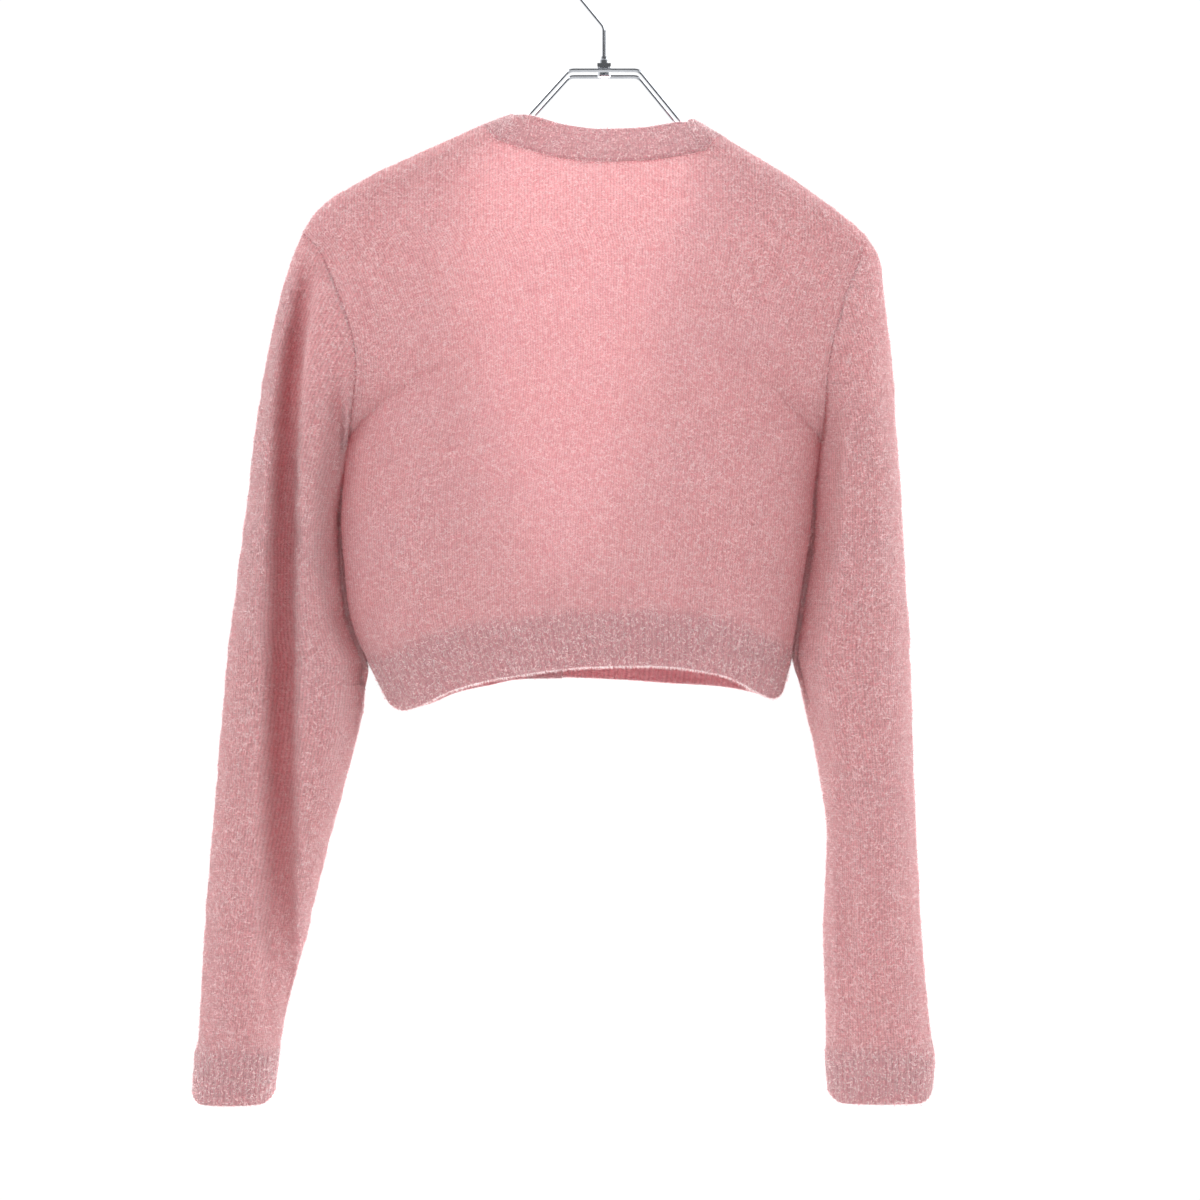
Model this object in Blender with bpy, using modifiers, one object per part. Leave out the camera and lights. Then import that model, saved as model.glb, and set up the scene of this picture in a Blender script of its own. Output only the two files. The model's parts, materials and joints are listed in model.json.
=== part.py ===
"""Cropped V-neck cardigan of felted wool, hanging on a double-wire hanger.

The cloth is a wall of even thickness.  Every panel is a grid of points on one
body surface, and the sleeves are tubes that start from the armhole seams.
The fronts face -Y and the back faces +Y; +X is the wearer's left.
The origin is the inside top of the hook, where a rail carries it.
Sizes and tables are in millimetres; the meshes are made in metres.
"""

import math
from bisect import bisect_right
from collections import namedtuple
from functools import partial

import bmesh
import bpy
from mathutils import Vector

MM = 0.001                # millimetres to metres

# Cloth
CLOTH = 2.6               # thickness of the felted knit
BAND_CLOTH = 3.0          # the neckband is a little thicker
BAND_PROUD = 0.4          # and stands this much above the panels
BAND_WIDTH = 25.0
NECK_TURN = 1.9           # steepness of the neck seam where it comes over the ridge
BAND_TURN = 16.0          # the band's direction is its seam's over this much to each side
SEAM_GAP = 0.3            # space between two pieces along a seam
LAP = 3.7                 # the left front lies this far inside the right one

# Ribs of the hem and cuffs
RIB_RELIEF = 0.8
RIB_DEPTH = 46.0          # height of the ribbed hem and cuffs
RIB_RUN_IN = 4.0          # ribs reach their full height in this distance
RIB_PITCH = 4.3

# The shoulder ridge: cloth laid over the hanger's two wires
RIDGE_FLAT = 12.0         # from the ridge line to where the cloth bends down
RIDGE_RADIUS = 12.0       # of the bend over a wire
RIDGE_HALF = RIDGE_FLAT + RIDGE_RADIUS
RIDGE_ARC = RIDGE_FLAT + RIDGE_RADIUS * math.pi / 2
BEND_ROWS = (0.8, 1.5, 2.07, 2.58)  # rows of a panel over the bend, by RIDGE_RADIUS
SHOULDER_FALL = 130.0     # below the ridge the body has its full depth
BODY_POWER = 2.3          # squareness of the body's oval section
SLEEVE_POWER = 2.15

# Rows and columns of the grids
BACK_ARMHOLE_ROWS = 16
FRONT_ARMHOLE_ROWS = 15
BACK_SIDE_ROWS = 7
FRONT_SIDE_ROWS = 10
SHOULDER_COLUMNS = 6
NECK_COLUMNS = 16
FRONT_COLUMNS = 12
SLEEVE_RINGS = 14
BAND_STEPS = 6            # every second one is a column of the band
BACK_ARMHOLE_SHARE = 0.6  # share of a column's length in its upper rows
FRONT_ARMHOLE_SHARE = 0.7

Ridge = namedtuple("Ridge", "x z")
RIDGE = (                 # height of the shoulders' top line, right tip to left tip
    Ridge(-188.0, -207.0), Ridge(-177.0, -197.0), Ridge(-158.0, -183.0),
    Ridge(-126.4, -161.3), Ridge(-90.7, -140.0), Ridge(-67.0, -125.7),
    Ridge(-57.0, -121.5), Ridge(-30.0, -108.0), Ridge(0.0, -101.0),
    Ridge(30.0, -107.5), Ridge(62.0, -119.5), Ridge(80.0, -125.7),
    Ridge(113.6, -140.0), Ridge(160.7, -161.3), Ridge(187.5, -175.7),
    Ridge(198.5, -183.0), Ridge(206.0, -191.5), Ridge(213.6, -205.0),
)

Edge = namedtuple("Edge", "z x")
BODY_LEFT = (             # armhole seam down to the underarm, then the side seam
    Edge(-205.0, 213.6), Edge(-220.0, 203.0), Edge(-253.0, 188.0), Edge(-281.0, 179.0),
    Edge(-303.0, 176.0), Edge(-325.0, 178.0), Edge(-354.0, 184.5), Edge(-372.0, 186.5),
    Edge(-392.0, 188.3), Edge(-412.0, 189.3), Edge(-446.0, 187.0), Edge(-474.0, 184.0),
    Edge(-495.0, 178.0),
    Edge(-516.0, 167.5), Edge(-534.0, 158.5), Edge(-551.0, 149.0),
)
BODY_RIGHT = (
    Edge(-207.0, -188.0), Edge(-220.0, -184.5), Edge(-235.0, -178.5),
    Edge(-253.0, -171.0), Edge(-281.0, -163.5), Edge(-310.0, -158.5),
    Edge(-354.0, -156.0), Edge(-388.0, -151.5), Edge(-420.0, -148.5),
    Edge(-453.0, -143.5), Edge(-502.0, -136.0), Edge(-528.0, -129.5),
    Edge(-544.0, -125.0),
)

Depth = namedtuple("Depth", "z back front")
BODY_DEPTH = (            # half depths of the body at the middle of each face
    Depth(-200.0, 50.0, 46.0), Depth(-281.0, 54.0, 49.0), Depth(-354.0, 55.0, 50.0),
    Depth(-440.0, 52.0, 48.0), Depth(-505.0, 46.0, 44.0), Depth(-552.0, 42.0, 40.0),
)

Hem = namedtuple("Hem", "across z")
BACK_HEM = (              # across runs from -1, right side seam, to 1, left side seam
    Hem(-1.0, -543.0), Hem(-0.88, -535.0), Hem(-0.66, -521.5), Hem(-0.33, -515.5),
    Hem(-0.09, -516.0), Hem(0.38, -524.0), Hem(0.63, -532.5), Hem(0.88, -546.0),
    Hem(1.0, -550.0),
)
FRONT_HEM = (
    Hem(-1.0, -543.0), Hem(-0.88, -536.5), Hem(-0.68, -531.5), Hem(-0.43, -529.5),
    Hem(-0.18, -527.0), Hem(0.1, -525.5), Hem(0.33, -527.0), Hem(0.45, -530.5),
    Hem(0.63, -535.5), Hem(0.83, -545.0), Hem(1.0, -550.0),
)

Neck = namedtuple("Neck", "x z")
BACK_NECK = (             # seam of the neckband on the back, ridge to ridge
    Neck(-92.0, -140.8), Neck(-75.6, -146.5), Neck(-54.0, -152.0), Neck(-25.6, -156.0),
    Neck(3.0, -156.8), Neck(31.2, -153.7), Neck(52.6, -148.0), Neck(74.3, -140.7),
    Neck(95.5, -132.0),
)
FRONT_SEAM_LEFT = (       # seam of the band on the left front, from ridge to hem
    Edge(-132.0, 95.5), Edge(-145.0, 106.0), Edge(-160.0, 114.0), Edge(-190.0, 118.5),
    Edge(-217.0, 117.5), Edge(-250.0, 113.5), Edge(-289.0, 106.0), Edge(-346.0, 92.5),
    Edge(-404.0, 79.0), Edge(-436.0, 66.0), Edge(-469.0, 58.0), Edge(-500.0, 56.0),
    Edge(-532.0, 55.5),
)
FRONT_SEAM_RIGHT = (      # the right one turns under the V to lie over the left
    Edge(-140.8, -92.0), Edge(-160.0, -96.0), Edge(-209.0, -89.0), Edge(-267.0, -73.0),
    Edge(-339.0, -57.0), Edge(-397.0, -43.0), Edge(-420.0, -37.0), Edge(-438.0, -28.0),
    Edge(-452.0, -15.0), Edge(-463.0, 0.0), Edge(-471.0, 13.0), Edge(-480.0, 24.0),
    Edge(-490.0, 30.0), Edge(-505.0, 31.0), Edge(-530.0, 30.5),
)

Tube = namedtuple("Tube", "z inner outer depth y")
SLEEVE_LEFT = (           # inner and outer edge, half depth and middle of each section
    Tube(-205.0, 184.0, 213.6, 40.0, 0.0), Tube(-224.0, 184.0, 224.5, 42.0, 0.0),
    Tube(-253.0, 184.0, 233.0, 44.0, 0.0), Tube(-310.0, 184.5, 245.0, 46.0, 0.0),
    Tube(-354.0, 185.0, 251.5, 46.0, 0.0), Tube(-372.0, 188.2, 253.5, 46.0, 0.0),
    Tube(-392.0, 190.0, 255.5, 46.0, 0.0),
    Tube(-425.0, 190.4, 260.5, 45.0, 0.0), Tube(-446.0, 188.7, 263.0, 44.0, 0.0),
    Tube(-470.0, 187.0, 265.5, 43.0, 0.0),
    Tube(-490.0, 182.6, 269.0, 41.0, 0.0), Tube(-515.0, 171.2, 271.5, 39.0, -1.0),
    Tube(-541.0, 173.0, 273.6, 38.0, -1.0), Tube(-598.0, 186.0, 278.6, 36.0, -2.0),
    Tube(-656.0, 201.5, 283.7, 35.0, -3.0), Tube(-713.0, 215.5, 288.0, 33.0, -4.0),
    Tube(-771.0, 230.5, 291.6, 31.0, -5.0), Tube(-800.0, 235.5, 294.5, 30.0, -5.0),
    Tube(-830.0, 239.0, 296.0, 29.0, -5.0),
)
SLEEVE_RIGHT = (
    Tube(-207.0, -157.0, -188.0, 40.0, 0.0), Tube(-224.0, -157.0, -198.0, 42.0, 0.0),
    Tube(-253.0, -157.0, -201.6, 44.0, 0.0), Tube(-310.0, -157.3, -208.0, 47.0, 0.0),
    Tube(-354.0, -157.0, -210.5, 49.0, 0.0), Tube(-392.0, -153.0, -213.5, 51.0, 0.0),
    Tube(-425.0, -149.6, -215.0, 51.0, 0.0), Tube(-466.0, -143.3, -217.5, 50.0, 0.0),
    Tube(-490.0, -139.6, -219.5, 49.0, 0.0), Tube(-510.0, -138.0, -220.5, 48.0, -1.0),
    Tube(-541.0, -144.0, -221.0, 47.0, -1.0), Tube(-598.0, -156.0, -223.0, 44.0, -2.0),
    Tube(-640.0, -160.5, -225.0, 41.0, -3.0), Tube(-713.0, -158.5, -229.0, 36.0, -5.0),
    Tube(-771.0, -160.0, -234.7, 29.0, -6.0), Tube(-800.0, -160.5, -237.6, 26.0, -6.0),
    Tube(-830.0, -163.0, -235.0, 23.0, -6.0),
)

Fold = namedtuple("Fold", "z x depth width")
LEFT_TROUGH = (           # the long fold down the back of the left sleeve
    Fold(-222.0, 209.0, 0.0, 7.0), Fold(-262.0, 221.0, 13.0, 8.5),
    Fold(-300.0, 227.0, 21.0, 10.0), Fold(-395.0, 230.0, 26.0, 10.5),
    Fold(-540.0, 231.5, 26.0, 12.0), Fold(-650.0, 232.0, 21.0, 12.0),
    Fold(-720.0, 232.0, 11.0, 12.0), Fold(-785.0, 232.0, 0.0, 11.0),
)
RIGHT_CREASE = (          # a slighter one near the inner edge of the right sleeve
    Fold(-520.0, -166.0, 0.0, 6.0), Fold(-600.0, -172.0, 3.0, 6.0),
    Fold(-700.0, -173.5, 4.0, 6.0), Fold(-780.0, -174.0, 1.5, 6.0),
    Fold(-830.0, -174.0, 0.0, 6.0),
)

Hollow = namedtuple("Hollow", "face x_top x_low z_top z_low width depth")
HOLLOWS = (               # wide soft dips in the body, deepest at their lower end
    Hollow(1, 92.0, 110.0, -300.0, -516.0, 22.0, 5.0),
    Hollow(1, -42.0, -60.0, -290.0, -516.0, 20.0, 7.0),
    Hollow(-1, -108.0, -92.0, -310.0, -530.0, 22.0, 5.0),
    Hollow(-1, 128.0, 112.0, -320.0, -530.0, 20.0, 4.0),
)

# Armholes
Loop = namedtuple("Loop", "turn half")
ARMHOLE = (               # half depth of the loop, by degrees from shoulder to underarm
    Loop(0.0, 0.0), Loop(12.0, 14.5), Loop(25.0, 21.0), Loop(45.0, 27.0), Loop(68.0, 36.0),
    Loop(90.0, 42.0), Loop(105.0, 41.5), Loop(125.0, 34.5), Loop(150.0, 18.5),
    Loop(180.0, 0.0),
)
TIP_LEAN = math.radians(30.0)   # how far the cap's cloth leans from level at the tip
UNDERARM_Z = -354.0
TROUGH_ANGLE = math.radians(80.0)
TROUGH_SPREAD = math.radians(30.0)
TROUGH_GAIN = 1.2         # extra columns near the left sleeve's fold
CAP_SHARE = 0.3           # share of the sleeve's length shaped by the armhole

Turn = namedtuple("Turn", "radius z")

# Buttons: turned, from the top of the axis down; z is above the cloth they sit on
BUTTON_Z = (-488.0, -515.0)
BUTTON_PROFILE = (
    Turn(0.0, 2.0), Turn(3.6, 2.0), Turn(4.2, 2.7), Turn(5.2, 2.7), Turn(5.75, 2.1),
    Turn(5.75, 1.2), Turn(5.2, 0.3), Turn(1.6, 0.3), Turn(1.6, -3.4), Turn(0.0, -3.4),
)
BUTTONHOLE = 3.8          # width of the hole in the upper band
BUTTONHOLE_REACH = (2.0, -3.3)

# Hanger
WIRE = 3.0                # diameter of all its wire
WIRE_SPACE = 32.4         # between the centres of the two wires
TOP_RUN_Z = -89.6
TOP_RUN_HALF = 25.0
NECK_SLOPE = math.radians(49.3)
NECK_REACH = 57.6
ARM_SLOPE = math.radians(30.6)
ARM_REACH = 178.0
HANGER_TILT = math.radians(3.5)   # the left arm is bent up by this, the right one down
BEND_RADIUS = (7.0, 16.0)         # at the end of the top run and of the neck's slope
END_STEPS = 8
HOOK_RADIUS = 22.4        # to the middle of the wire
HOOK_INSIDE = HOOK_RADIUS - WIRE / 2
HOOK_LEAN = math.radians(39.4)
HOOK_END = math.radians(208.0)
HOOK_BEND = 7.0           # radius of the bend from the shank
HOOK_STEPS = 18
SHANK_LOW = -91.2
BRIDGE = (9.6, 38.0, 2.6)
BRIDGE_UNDER_Z = -87.5
BORE = 3.8
TURN_STEPS = 20           # sides of whatever is round
COLLAR = (                # turned, from its top inside edge down the outer side
    Turn(1.9, -77.6), Turn(2.3, -77.6), Turn(2.3, -79.3), Turn(2.8, -79.5), Turn(3.3, -80.3),
    Turn(3.3, -84.6), Turn(1.9, -84.6),
)
NUT = (
    Turn(1.9, -87.8), Turn(4.8, -87.8), Turn(4.8, -91.4), Turn(4.2, -92.2), Turn(2.4, -92.2),
    Turn(1.9, -91.7),
)


def curve(rows, key, value):
    """A smooth function through a table's column, without overshoot."""
    pairs = sorted((getattr(row, key), getattr(row, value)) for row in rows)
    xs = [pair[0] for pair in pairs]
    ys = [pair[1] for pair in pairs]
    steps = [(ys[i + 1] - ys[i]) / (xs[i + 1] - xs[i]) for i in range(len(xs) - 1)]
    slopes = [steps[0]]
    for before, after in zip(steps, steps[1:]):
        turning = before * after <= 0
        slopes.append(0.0 if turning else 2 * before * after / (before + after))
    slopes.append(steps[-1])

    def at(x):
        if x <= xs[0]:
            return ys[0]
        if x >= xs[-1]:
            return ys[-1]
        i = bisect_right(xs, x) - 1
        span = xs[i + 1] - xs[i]
        t = (x - xs[i]) / span
        return ((1 + 2 * t) * (1 - t) ** 2 * ys[i] + t * (1 - t) ** 2 * span * slopes[i]
                + t * t * (3 - 2 * t) * ys[i + 1] - t * t * (1 - t) * span * slopes[i + 1])

    return at


ridge_at = curve(RIDGE, "x", "z")
body_left = curve(BODY_LEFT, "z", "x")
body_right = curve(BODY_RIGHT, "z", "x")
back_depth = curve(BODY_DEPTH, "z", "back")
front_depth = curve(BODY_DEPTH, "z", "front")
back_hem = curve(BACK_HEM, "across", "z")
front_hem = curve(FRONT_HEM, "across", "z")
back_neck = curve(BACK_NECK, "x", "z")
loop_half = curve(ARMHOLE, "turn", "half")


def ease(t):
    """Smooth step from 0 to 1."""
    t = min(max(t, 0.0), 1.0)
    return t * t * (3 - 2 * t)


def mix(a, b, t):
    return a + (b - a) * t


# ---------------------------------------------------------------- armholes

Side = namedtuple("Side", "sign edges tube trough angles_back angles_front")


def spread_angles(count, gain):
    """Angles from 0 to pi, closer together near the left sleeve's fold."""
    fine = 400
    weights = []
    for i in range(fine):
        angle = math.pi * (i + 0.5) / fine
        weights.append(1 + gain * math.exp(-((angle - TROUGH_ANGLE) / TROUGH_SPREAD) ** 2))
    total = sum(weights)
    angles = [0.0]
    run = 0.0
    for i, weight in enumerate(weights):
        run += weight / total * count
        if run >= len(angles) and len(angles) < count:
            angles.append(math.pi * (i + 1) / fine)
    return angles + [math.pi]


LEFT = Side(1, body_left, SLEEVE_LEFT, LEFT_TROUGH,
            spread_angles(BACK_ARMHOLE_ROWS, TROUGH_GAIN),
            spread_angles(FRONT_ARMHOLE_ROWS, 0.0))
RIGHT = Side(-1, body_right, SLEEVE_RIGHT, RIGHT_CREASE,
             spread_angles(BACK_ARMHOLE_ROWS, 0.0),
             spread_angles(FRONT_ARMHOLE_ROWS, 0.0))


def tip_z(side):
    return side.tube[0].z


def armhole_half(angle):
    """Half depth of the armhole loop; angle 0 is the shoulder, pi the underarm."""
    return loop_half(math.degrees(angle))


def armhole_angle(side, drop):
    """The loop's angle at a height that is this far below the shoulder tip."""
    reach = tip_z(side) - UNDERARM_Z
    return math.acos(min(max(1 - 2 * drop / reach, -1.0), 1.0))


def armhole(side, angle, face):
    """A point of the armhole seam, and the cloth's outward direction there."""
    z = mix(tip_z(side), UNDERARM_Z, (1 - math.cos(angle)) / 2)
    point = Vector((side.edges(z), face * armhole_half(angle), z))
    if angle < math.pi / 2:
        turn = min(1.6 * angle, math.pi / 2)
        outward = side.sign * math.cos(TIP_LEAN) * math.cos(turn) ** 2
        up = math.sin(TIP_LEAN) * math.cos(turn)
    else:
        turn = math.pi / 2 * (1 - (2 * angle / math.pi - 1) ** 1.7)
        outward = 0.0
        up = -math.cos(turn)
    return point, Vector((outward, face * math.sin(turn), up)).normalized()


def seam_shift(side, angle, face):
    """Half the seam's gap, from the seam towards the sleeve, in the cloth's own surface."""
    small = 0.01
    ahead = armhole(side, min(angle + small, math.pi), face)[0]
    behind = armhole(side, max(angle - small, 0.0), face)[0]
    normal = armhole(side, angle, face)[1]
    across = (ahead - behind).cross(normal)
    if across.x * side.sign < 0:
        across.negate()
    return across.normalized() * SEAM_GAP / 2


# ---------------------------------------------------------------- body surface

def middle_and_half(z):
    left, right = body_left(z), body_right(z)
    return (left + right) / 2, (left - right) / 2


TOP_MIDDLE, TOP_HALF = middle_and_half(0.0)


def across_at(x, z):
    middle, half = middle_and_half(z)
    return (x - middle) / half


def ridge_over(across):
    """Height of the ridge above a column of the body."""
    return ridge_at(TOP_MIDDLE + across * TOP_HALF)


def ridge_half(length):
    """Distance from the ridge line's plane after this length of cloth."""
    turn = min(max(length - RIDGE_FLAT, 0.0) / RIDGE_RADIUS, math.pi / 2)
    return min(length, RIDGE_FLAT) + RIDGE_RADIUS * math.sin(turn)


def drop_after(length):
    """How far below the ridge the cloth is after this length from the ridge line."""
    turn = min(max(length - RIDGE_FLAT, 0.0) / RIDGE_RADIUS, math.pi / 2)
    return RIDGE_RADIUS * (1 - math.cos(turn)) + max(length - RIDGE_ARC, 0.0)


def length_to(drop):
    """The length of cloth from the ridge line to this far below the ridge."""
    if drop >= RIDGE_RADIUS:
        return RIDGE_ARC + drop - RIDGE_RADIUS
    return RIDGE_FLAT + RIDGE_RADIUS * math.acos(1 - max(drop, 0.0) / RIDGE_RADIUS)


def hollow_depth(x, z, face):
    dip = 0.0
    for row in HOLLOWS:
        if row.face != face:
            continue
        down = (row.z_top - z) / (row.z_top - row.z_low)
        aside = (x - mix(row.x_top, row.x_low, down)) / row.width
        dip += row.depth * ease(down) * math.exp(-aside * aside)
    return dip


def body_point(across, length, under=False):
    """A point of the body's outer surface.

    across runs from -1 to 1 between the side seams; length is the length of cloth
    from the ridge line, positive down the back and negative down the fronts.
    """
    face = -1 if length < 0 else 1
    drop = drop_after(abs(length))
    z = ridge_over(across) - drop
    middle, half = middle_and_half(z)
    x = middle + across * half
    side = LEFT if across > 0 else RIGHT
    edge = armhole_half(armhole_angle(side, drop))
    full = back_depth(z) if face > 0 else front_depth(z)
    full -= hollow_depth(x, z, face)
    deep = ridge_half(abs(length)) + (full - RIDGE_HALF) * ease(drop / SHOULDER_FALL)
    if under:
        deep -= LAP * ease((105.0 - x) / 40.0) * ease((-385.0 - z) / 55.0)
    profile = max(1 - abs(across) ** BODY_POWER, 0.0) ** (1 / BODY_POWER)
    return Vector((x, face * mix(edge, deep, profile), z))


def tangents(across, length, under):
    da, dl = 0.002, 0.2
    sideways = body_point(across + da, length, under) - body_point(across - da, length, under)
    lengthways = body_point(across, length + dl, under) - body_point(across, length - dl, under)
    return sideways / (2 * da), lengthways / (2 * dl)


def surface_normal(across, length, under=False):
    sideways, lengthways = tangents(across, length, under)
    return sideways.cross(lengthways).normalized()


# ---------------------------------------------------------------- walls

def grid_normals(rows, closed, column, outward):
    """Directions out of a grid, from its neighbours; one column tells which way is out."""
    normals = []
    last = len(rows) - 1
    for i, row in enumerate(rows):
        line = []
        count = len(row)
        for j in range(count):
            after = row[(j + 1) % count] if closed else row[min(j + 1, count - 1)]
            before = row[j - 1] if closed else row[max(j - 1, 0)]
            down = rows[min(i + 1, last)][j] - rows[max(i - 1, 0)][j]
            line.append(down.cross(after - before).normalized())
        normals.append(line)
    if normals[last // 2][column].dot(outward) < 0:
        normals = [[-normal for normal in line] for line in normals]
    return normals


def runs_of(points, closed):
    """How far along a row each of its points is."""
    runs = [0.0]
    for before, after in zip(points, points[1:] + points[:1] if closed else points[1:]):
        runs.append(runs[-1] + (after - before).length)
    return runs


def ribbed(points, normals, closed, ribs, relief):
    """A row with evenly spaced points instead; every second one is raised into a rib."""
    runs = runs_of(points, closed)
    count = 2 * ribs
    line = []
    for step in range(count if closed else count + 1):
        run = runs[-1] * step / count
        j = min(bisect_right(runs, run) - 1, len(runs) - 2)
        k = (j + 1) % len(points)
        t = (run - runs[j]) / (runs[j + 1] - runs[j])
        normal = normals[j].lerp(normals[k], t).normalized()
        raised = relief if step % 2 else 0.0
        line.append(points[j].lerp(points[k], t) + normal * raised)
    return line


def stitch(bm, upper, lower, closed):
    """Faces between two rows of vertices, which may have different counts."""
    if len(upper) == len(lower):
        for j in range(len(upper) if closed else len(upper) - 1):
            k = (j + 1) % len(upper)
            bm.faces.new((upper[j], upper[k], lower[k], lower[j]))
        return
    if closed:
        upper, lower = upper + upper[:1], lower + lower[:1]
    i, j = 0, 0
    while i < len(upper) - 1 or j < len(lower) - 1:
        a, b = upper[i], lower[j]
        if j == len(lower) - 1 or (i < len(upper) - 1 and (upper[i + 1].co - b.co).length
                                   <= (lower[j + 1].co - a.co).length):
            i += 1
            bm.faces.new((a, upper[i], b))
        else:
            j += 1
            bm.faces.new((a, lower[j], b))


def close_rim(bm, outer, inner, closed):
    """Faces between the edges of the two skins.

    Each cell's diagonal starts at its higher outer point, so that two walls that
    share a seam have the same faces there.
    """
    count = len(outer)
    for i in range(count if closed else count - 1):
        high, low = i, (i + 1) % count
        if outer[low].co.z > outer[high].co.z:
            high, low = low, high
        bm.faces.new((outer[high], outer[low], inner[low]))
        bm.faces.new((outer[high], inner[low], inner[high]))


def make_wall(name, outer, inner, material, closed):
    """A closed wall from its outer and inner rows of points."""
    bm = bmesh.new()
    skins = []
    for rows in (outer, inner):
        skins.append([[bm.verts.new(point * MM) for point in row] for row in rows])
    for skin in skins:
        for upper, lower in zip(skin, skin[1:]):
            stitch(bm, upper, lower, closed)
    for row in (0, -1):
        close_rim(bm, skins[0][row], skins[1][row], closed)
    if not closed:
        for end in (0, -1):
            close_rim(bm, [row[end] for row in skins[0]], [row[end] for row in skins[1]], False)
    bmesh.ops.recalc_face_normals(bm, faces=bm.faces)
    mesh = bpy.data.meshes.new(name)
    bm.to_mesh(mesh)
    bm.free()
    return add_object(name, mesh, material)


def ribbed_wall(name, rows, normals, material, closed):
    """A wall whose last two rows are ribbed on the outside and plain inside."""
    inner = [[p - n * CLOTH for p, n in zip(row, line)] for row, line in zip(rows, normals)]
    outer = list(rows)
    ribs = round(runs_of(rows[-1], closed)[-1] / RIB_PITCH)
    for i in (-2, -1):
        outer[i] = ribbed(rows[i], normals[i], closed, ribs, RIB_RELIEF)
    inner[-1] = ribbed(inner[-1], normals[-1], closed, ribs, 0.0)
    return make_wall(name, outer, inner, material, closed)


def rib_heights(hem_z):
    """Heights of the two ribbed rows above a hem."""
    return (hem_z + RIB_DEPTH - RIB_RUN_IN, hem_z)


# ---------------------------------------------------------------- panels

def own_lengths(top, low, armhole_rows, side_rows, share):
    """Lengths from the ridge of a column's rows, close together near the ridge."""
    lengths = [top]
    if top == 0.0:
        lengths += [share * RIDGE_RADIUS for share in BEND_ROWS]
    start = lengths[-1]
    end = mix(top, low, share)
    steps = armhole_rows + 1 - len(lengths)
    lengths += [mix(start, end, ((i + 1) / steps) ** 1.35) for i in range(steps)]
    lengths += [mix(end, low, (i + 1) / side_rows) for i in range(side_rows)]
    return lengths


def side_drops(side, angles, side_rows, rib_z):
    """Drops of the rows at the side, as shares of the way down to the ribs."""
    heights = [armhole(side, angle, 1)[0].z for angle in angles]
    heights += [mix(UNDERARM_Z, rib_z, (i + 1) / side_rows) for i in range(side_rows)]
    return [(heights[0] - z) / (heights[0] - rib_z) for z in heights]


def column_lengths(own, shares, low_drop, pull):
    """Mixes a column's own rows with the side's; pull is 1 at the side itself."""
    mixed = [mix(length, length_to(share * low_drop), pull)
             for length, share in zip(own, shares)]
    return [own[0]] + mixed[1:]


def set_side_edge(rows, normals, j, side, angles, face):
    """Lays a panel's side column along the armhole and the side seam."""
    for i, angle in enumerate(angles):
        point, normal = armhole(side, angle, face)
        rows[i][j] = point - seam_shift(side, angle, face)
        normals[i][j] = normal
        if i in (0, len(angles) - 1):
            rows[i][j].y = face * SEAM_GAP / 2
    for i in range(len(angles), len(rows)):
        rows[i][j].y = face * SEAM_GAP / 2
        normals[i][j] = Vector((side.sign, 0.0, 0.0))


def flatten_ridge(rows, normals, columns, face):
    """Keeps the shoulder seam's edge upright along the ridge line."""
    for j in columns:
        point = rows[0][j]
        point.y = face * SEAM_GAP / 2
        slope = (ridge_at(point.x + 1) - ridge_at(point.x - 1)) / 2
        normals[0][j] = Vector((-slope, 0.0, 1.0)).normalized()


def back_columns():
    """Across positions of the back's columns, with one at each end of the neck."""
    right = (BACK_NECK[0].x - TOP_MIDDLE) / TOP_HALF
    left = (BACK_NECK[-1].x - TOP_MIDDLE) / TOP_HALF
    turns = [math.sin(math.pi / 2 * i / SHOULDER_COLUMNS) for i in range(SHOULDER_COLUMNS + 1)]
    columns = [mix(right, -1.0, turn) for turn in reversed(turns[1:])]
    for i in range(NECK_COLUMNS + 1):
        even = i / NECK_COLUMNS
        columns.append(mix(right, left, mix(even, (1 - math.cos(math.pi * even)) / 2, 0.65)))
    columns += [mix(left, 1.0, turn) for turn in turns[1:]]
    return columns


def build_back(material):
    """The back panel; gives the places along its neck seam."""
    columns = back_columns()
    first_neck, last_neck = SHOULDER_COLUMNS, SHOULDER_COLUMNS + NECK_COLUMNS
    neck = range(first_neck + 1, last_neck)
    neck_places = []
    grid = []
    for j, across in enumerate(columns):
        side = LEFT if across > 0 else RIGHT
        ridge = ridge_over(across)
        hem_z = back_hem(across)
        rib_z = hem_z + RIB_DEPTH
        top = 0.0
        if j in neck:
            x = TOP_MIDDLE + across * TOP_HALF
            inwards = min(x - BACK_NECK[0].x, BACK_NECK[-1].x - x)
            top = min(length_to(ridge - back_neck(x)), NECK_TURN * inwards) + SEAM_GAP / 2
            neck_places.append((across, top))
        own = own_lengths(top, length_to(ridge - rib_z), BACK_ARMHOLE_ROWS,
                          BACK_SIDE_ROWS, BACK_ARMHOLE_SHARE)
        shares = side_drops(side, side.angles_back, BACK_SIDE_ROWS,
                            back_hem(side.sign) + RIB_DEPTH)
        lengths = column_lengths(own, shares, ridge - rib_z, abs(across) ** 5)
        lengths += [length_to(ridge - z) for z in rib_heights(hem_z)]
        grid.append([body_point(across, length) for length in lengths])
    rows = [list(row) for row in zip(*grid)]
    normals = grid_normals(rows, False, len(columns) // 2, Vector((0, 1, 0)))
    set_side_edge(rows, normals, 0, RIGHT, RIGHT.angles_back, 1)
    set_side_edge(rows, normals, -1, LEFT, LEFT.angles_back, 1)
    shoulders = [j for j in range(1, len(columns) - 1) if j not in neck]
    flatten_ridge(rows, normals, shoulders, 1)
    for j, place in zip(neck, neck_places):
        normals[0][j] = surface_normal(*place)
    ribbed_wall("back", rows, normals, material, False)
    return neck_places


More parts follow.
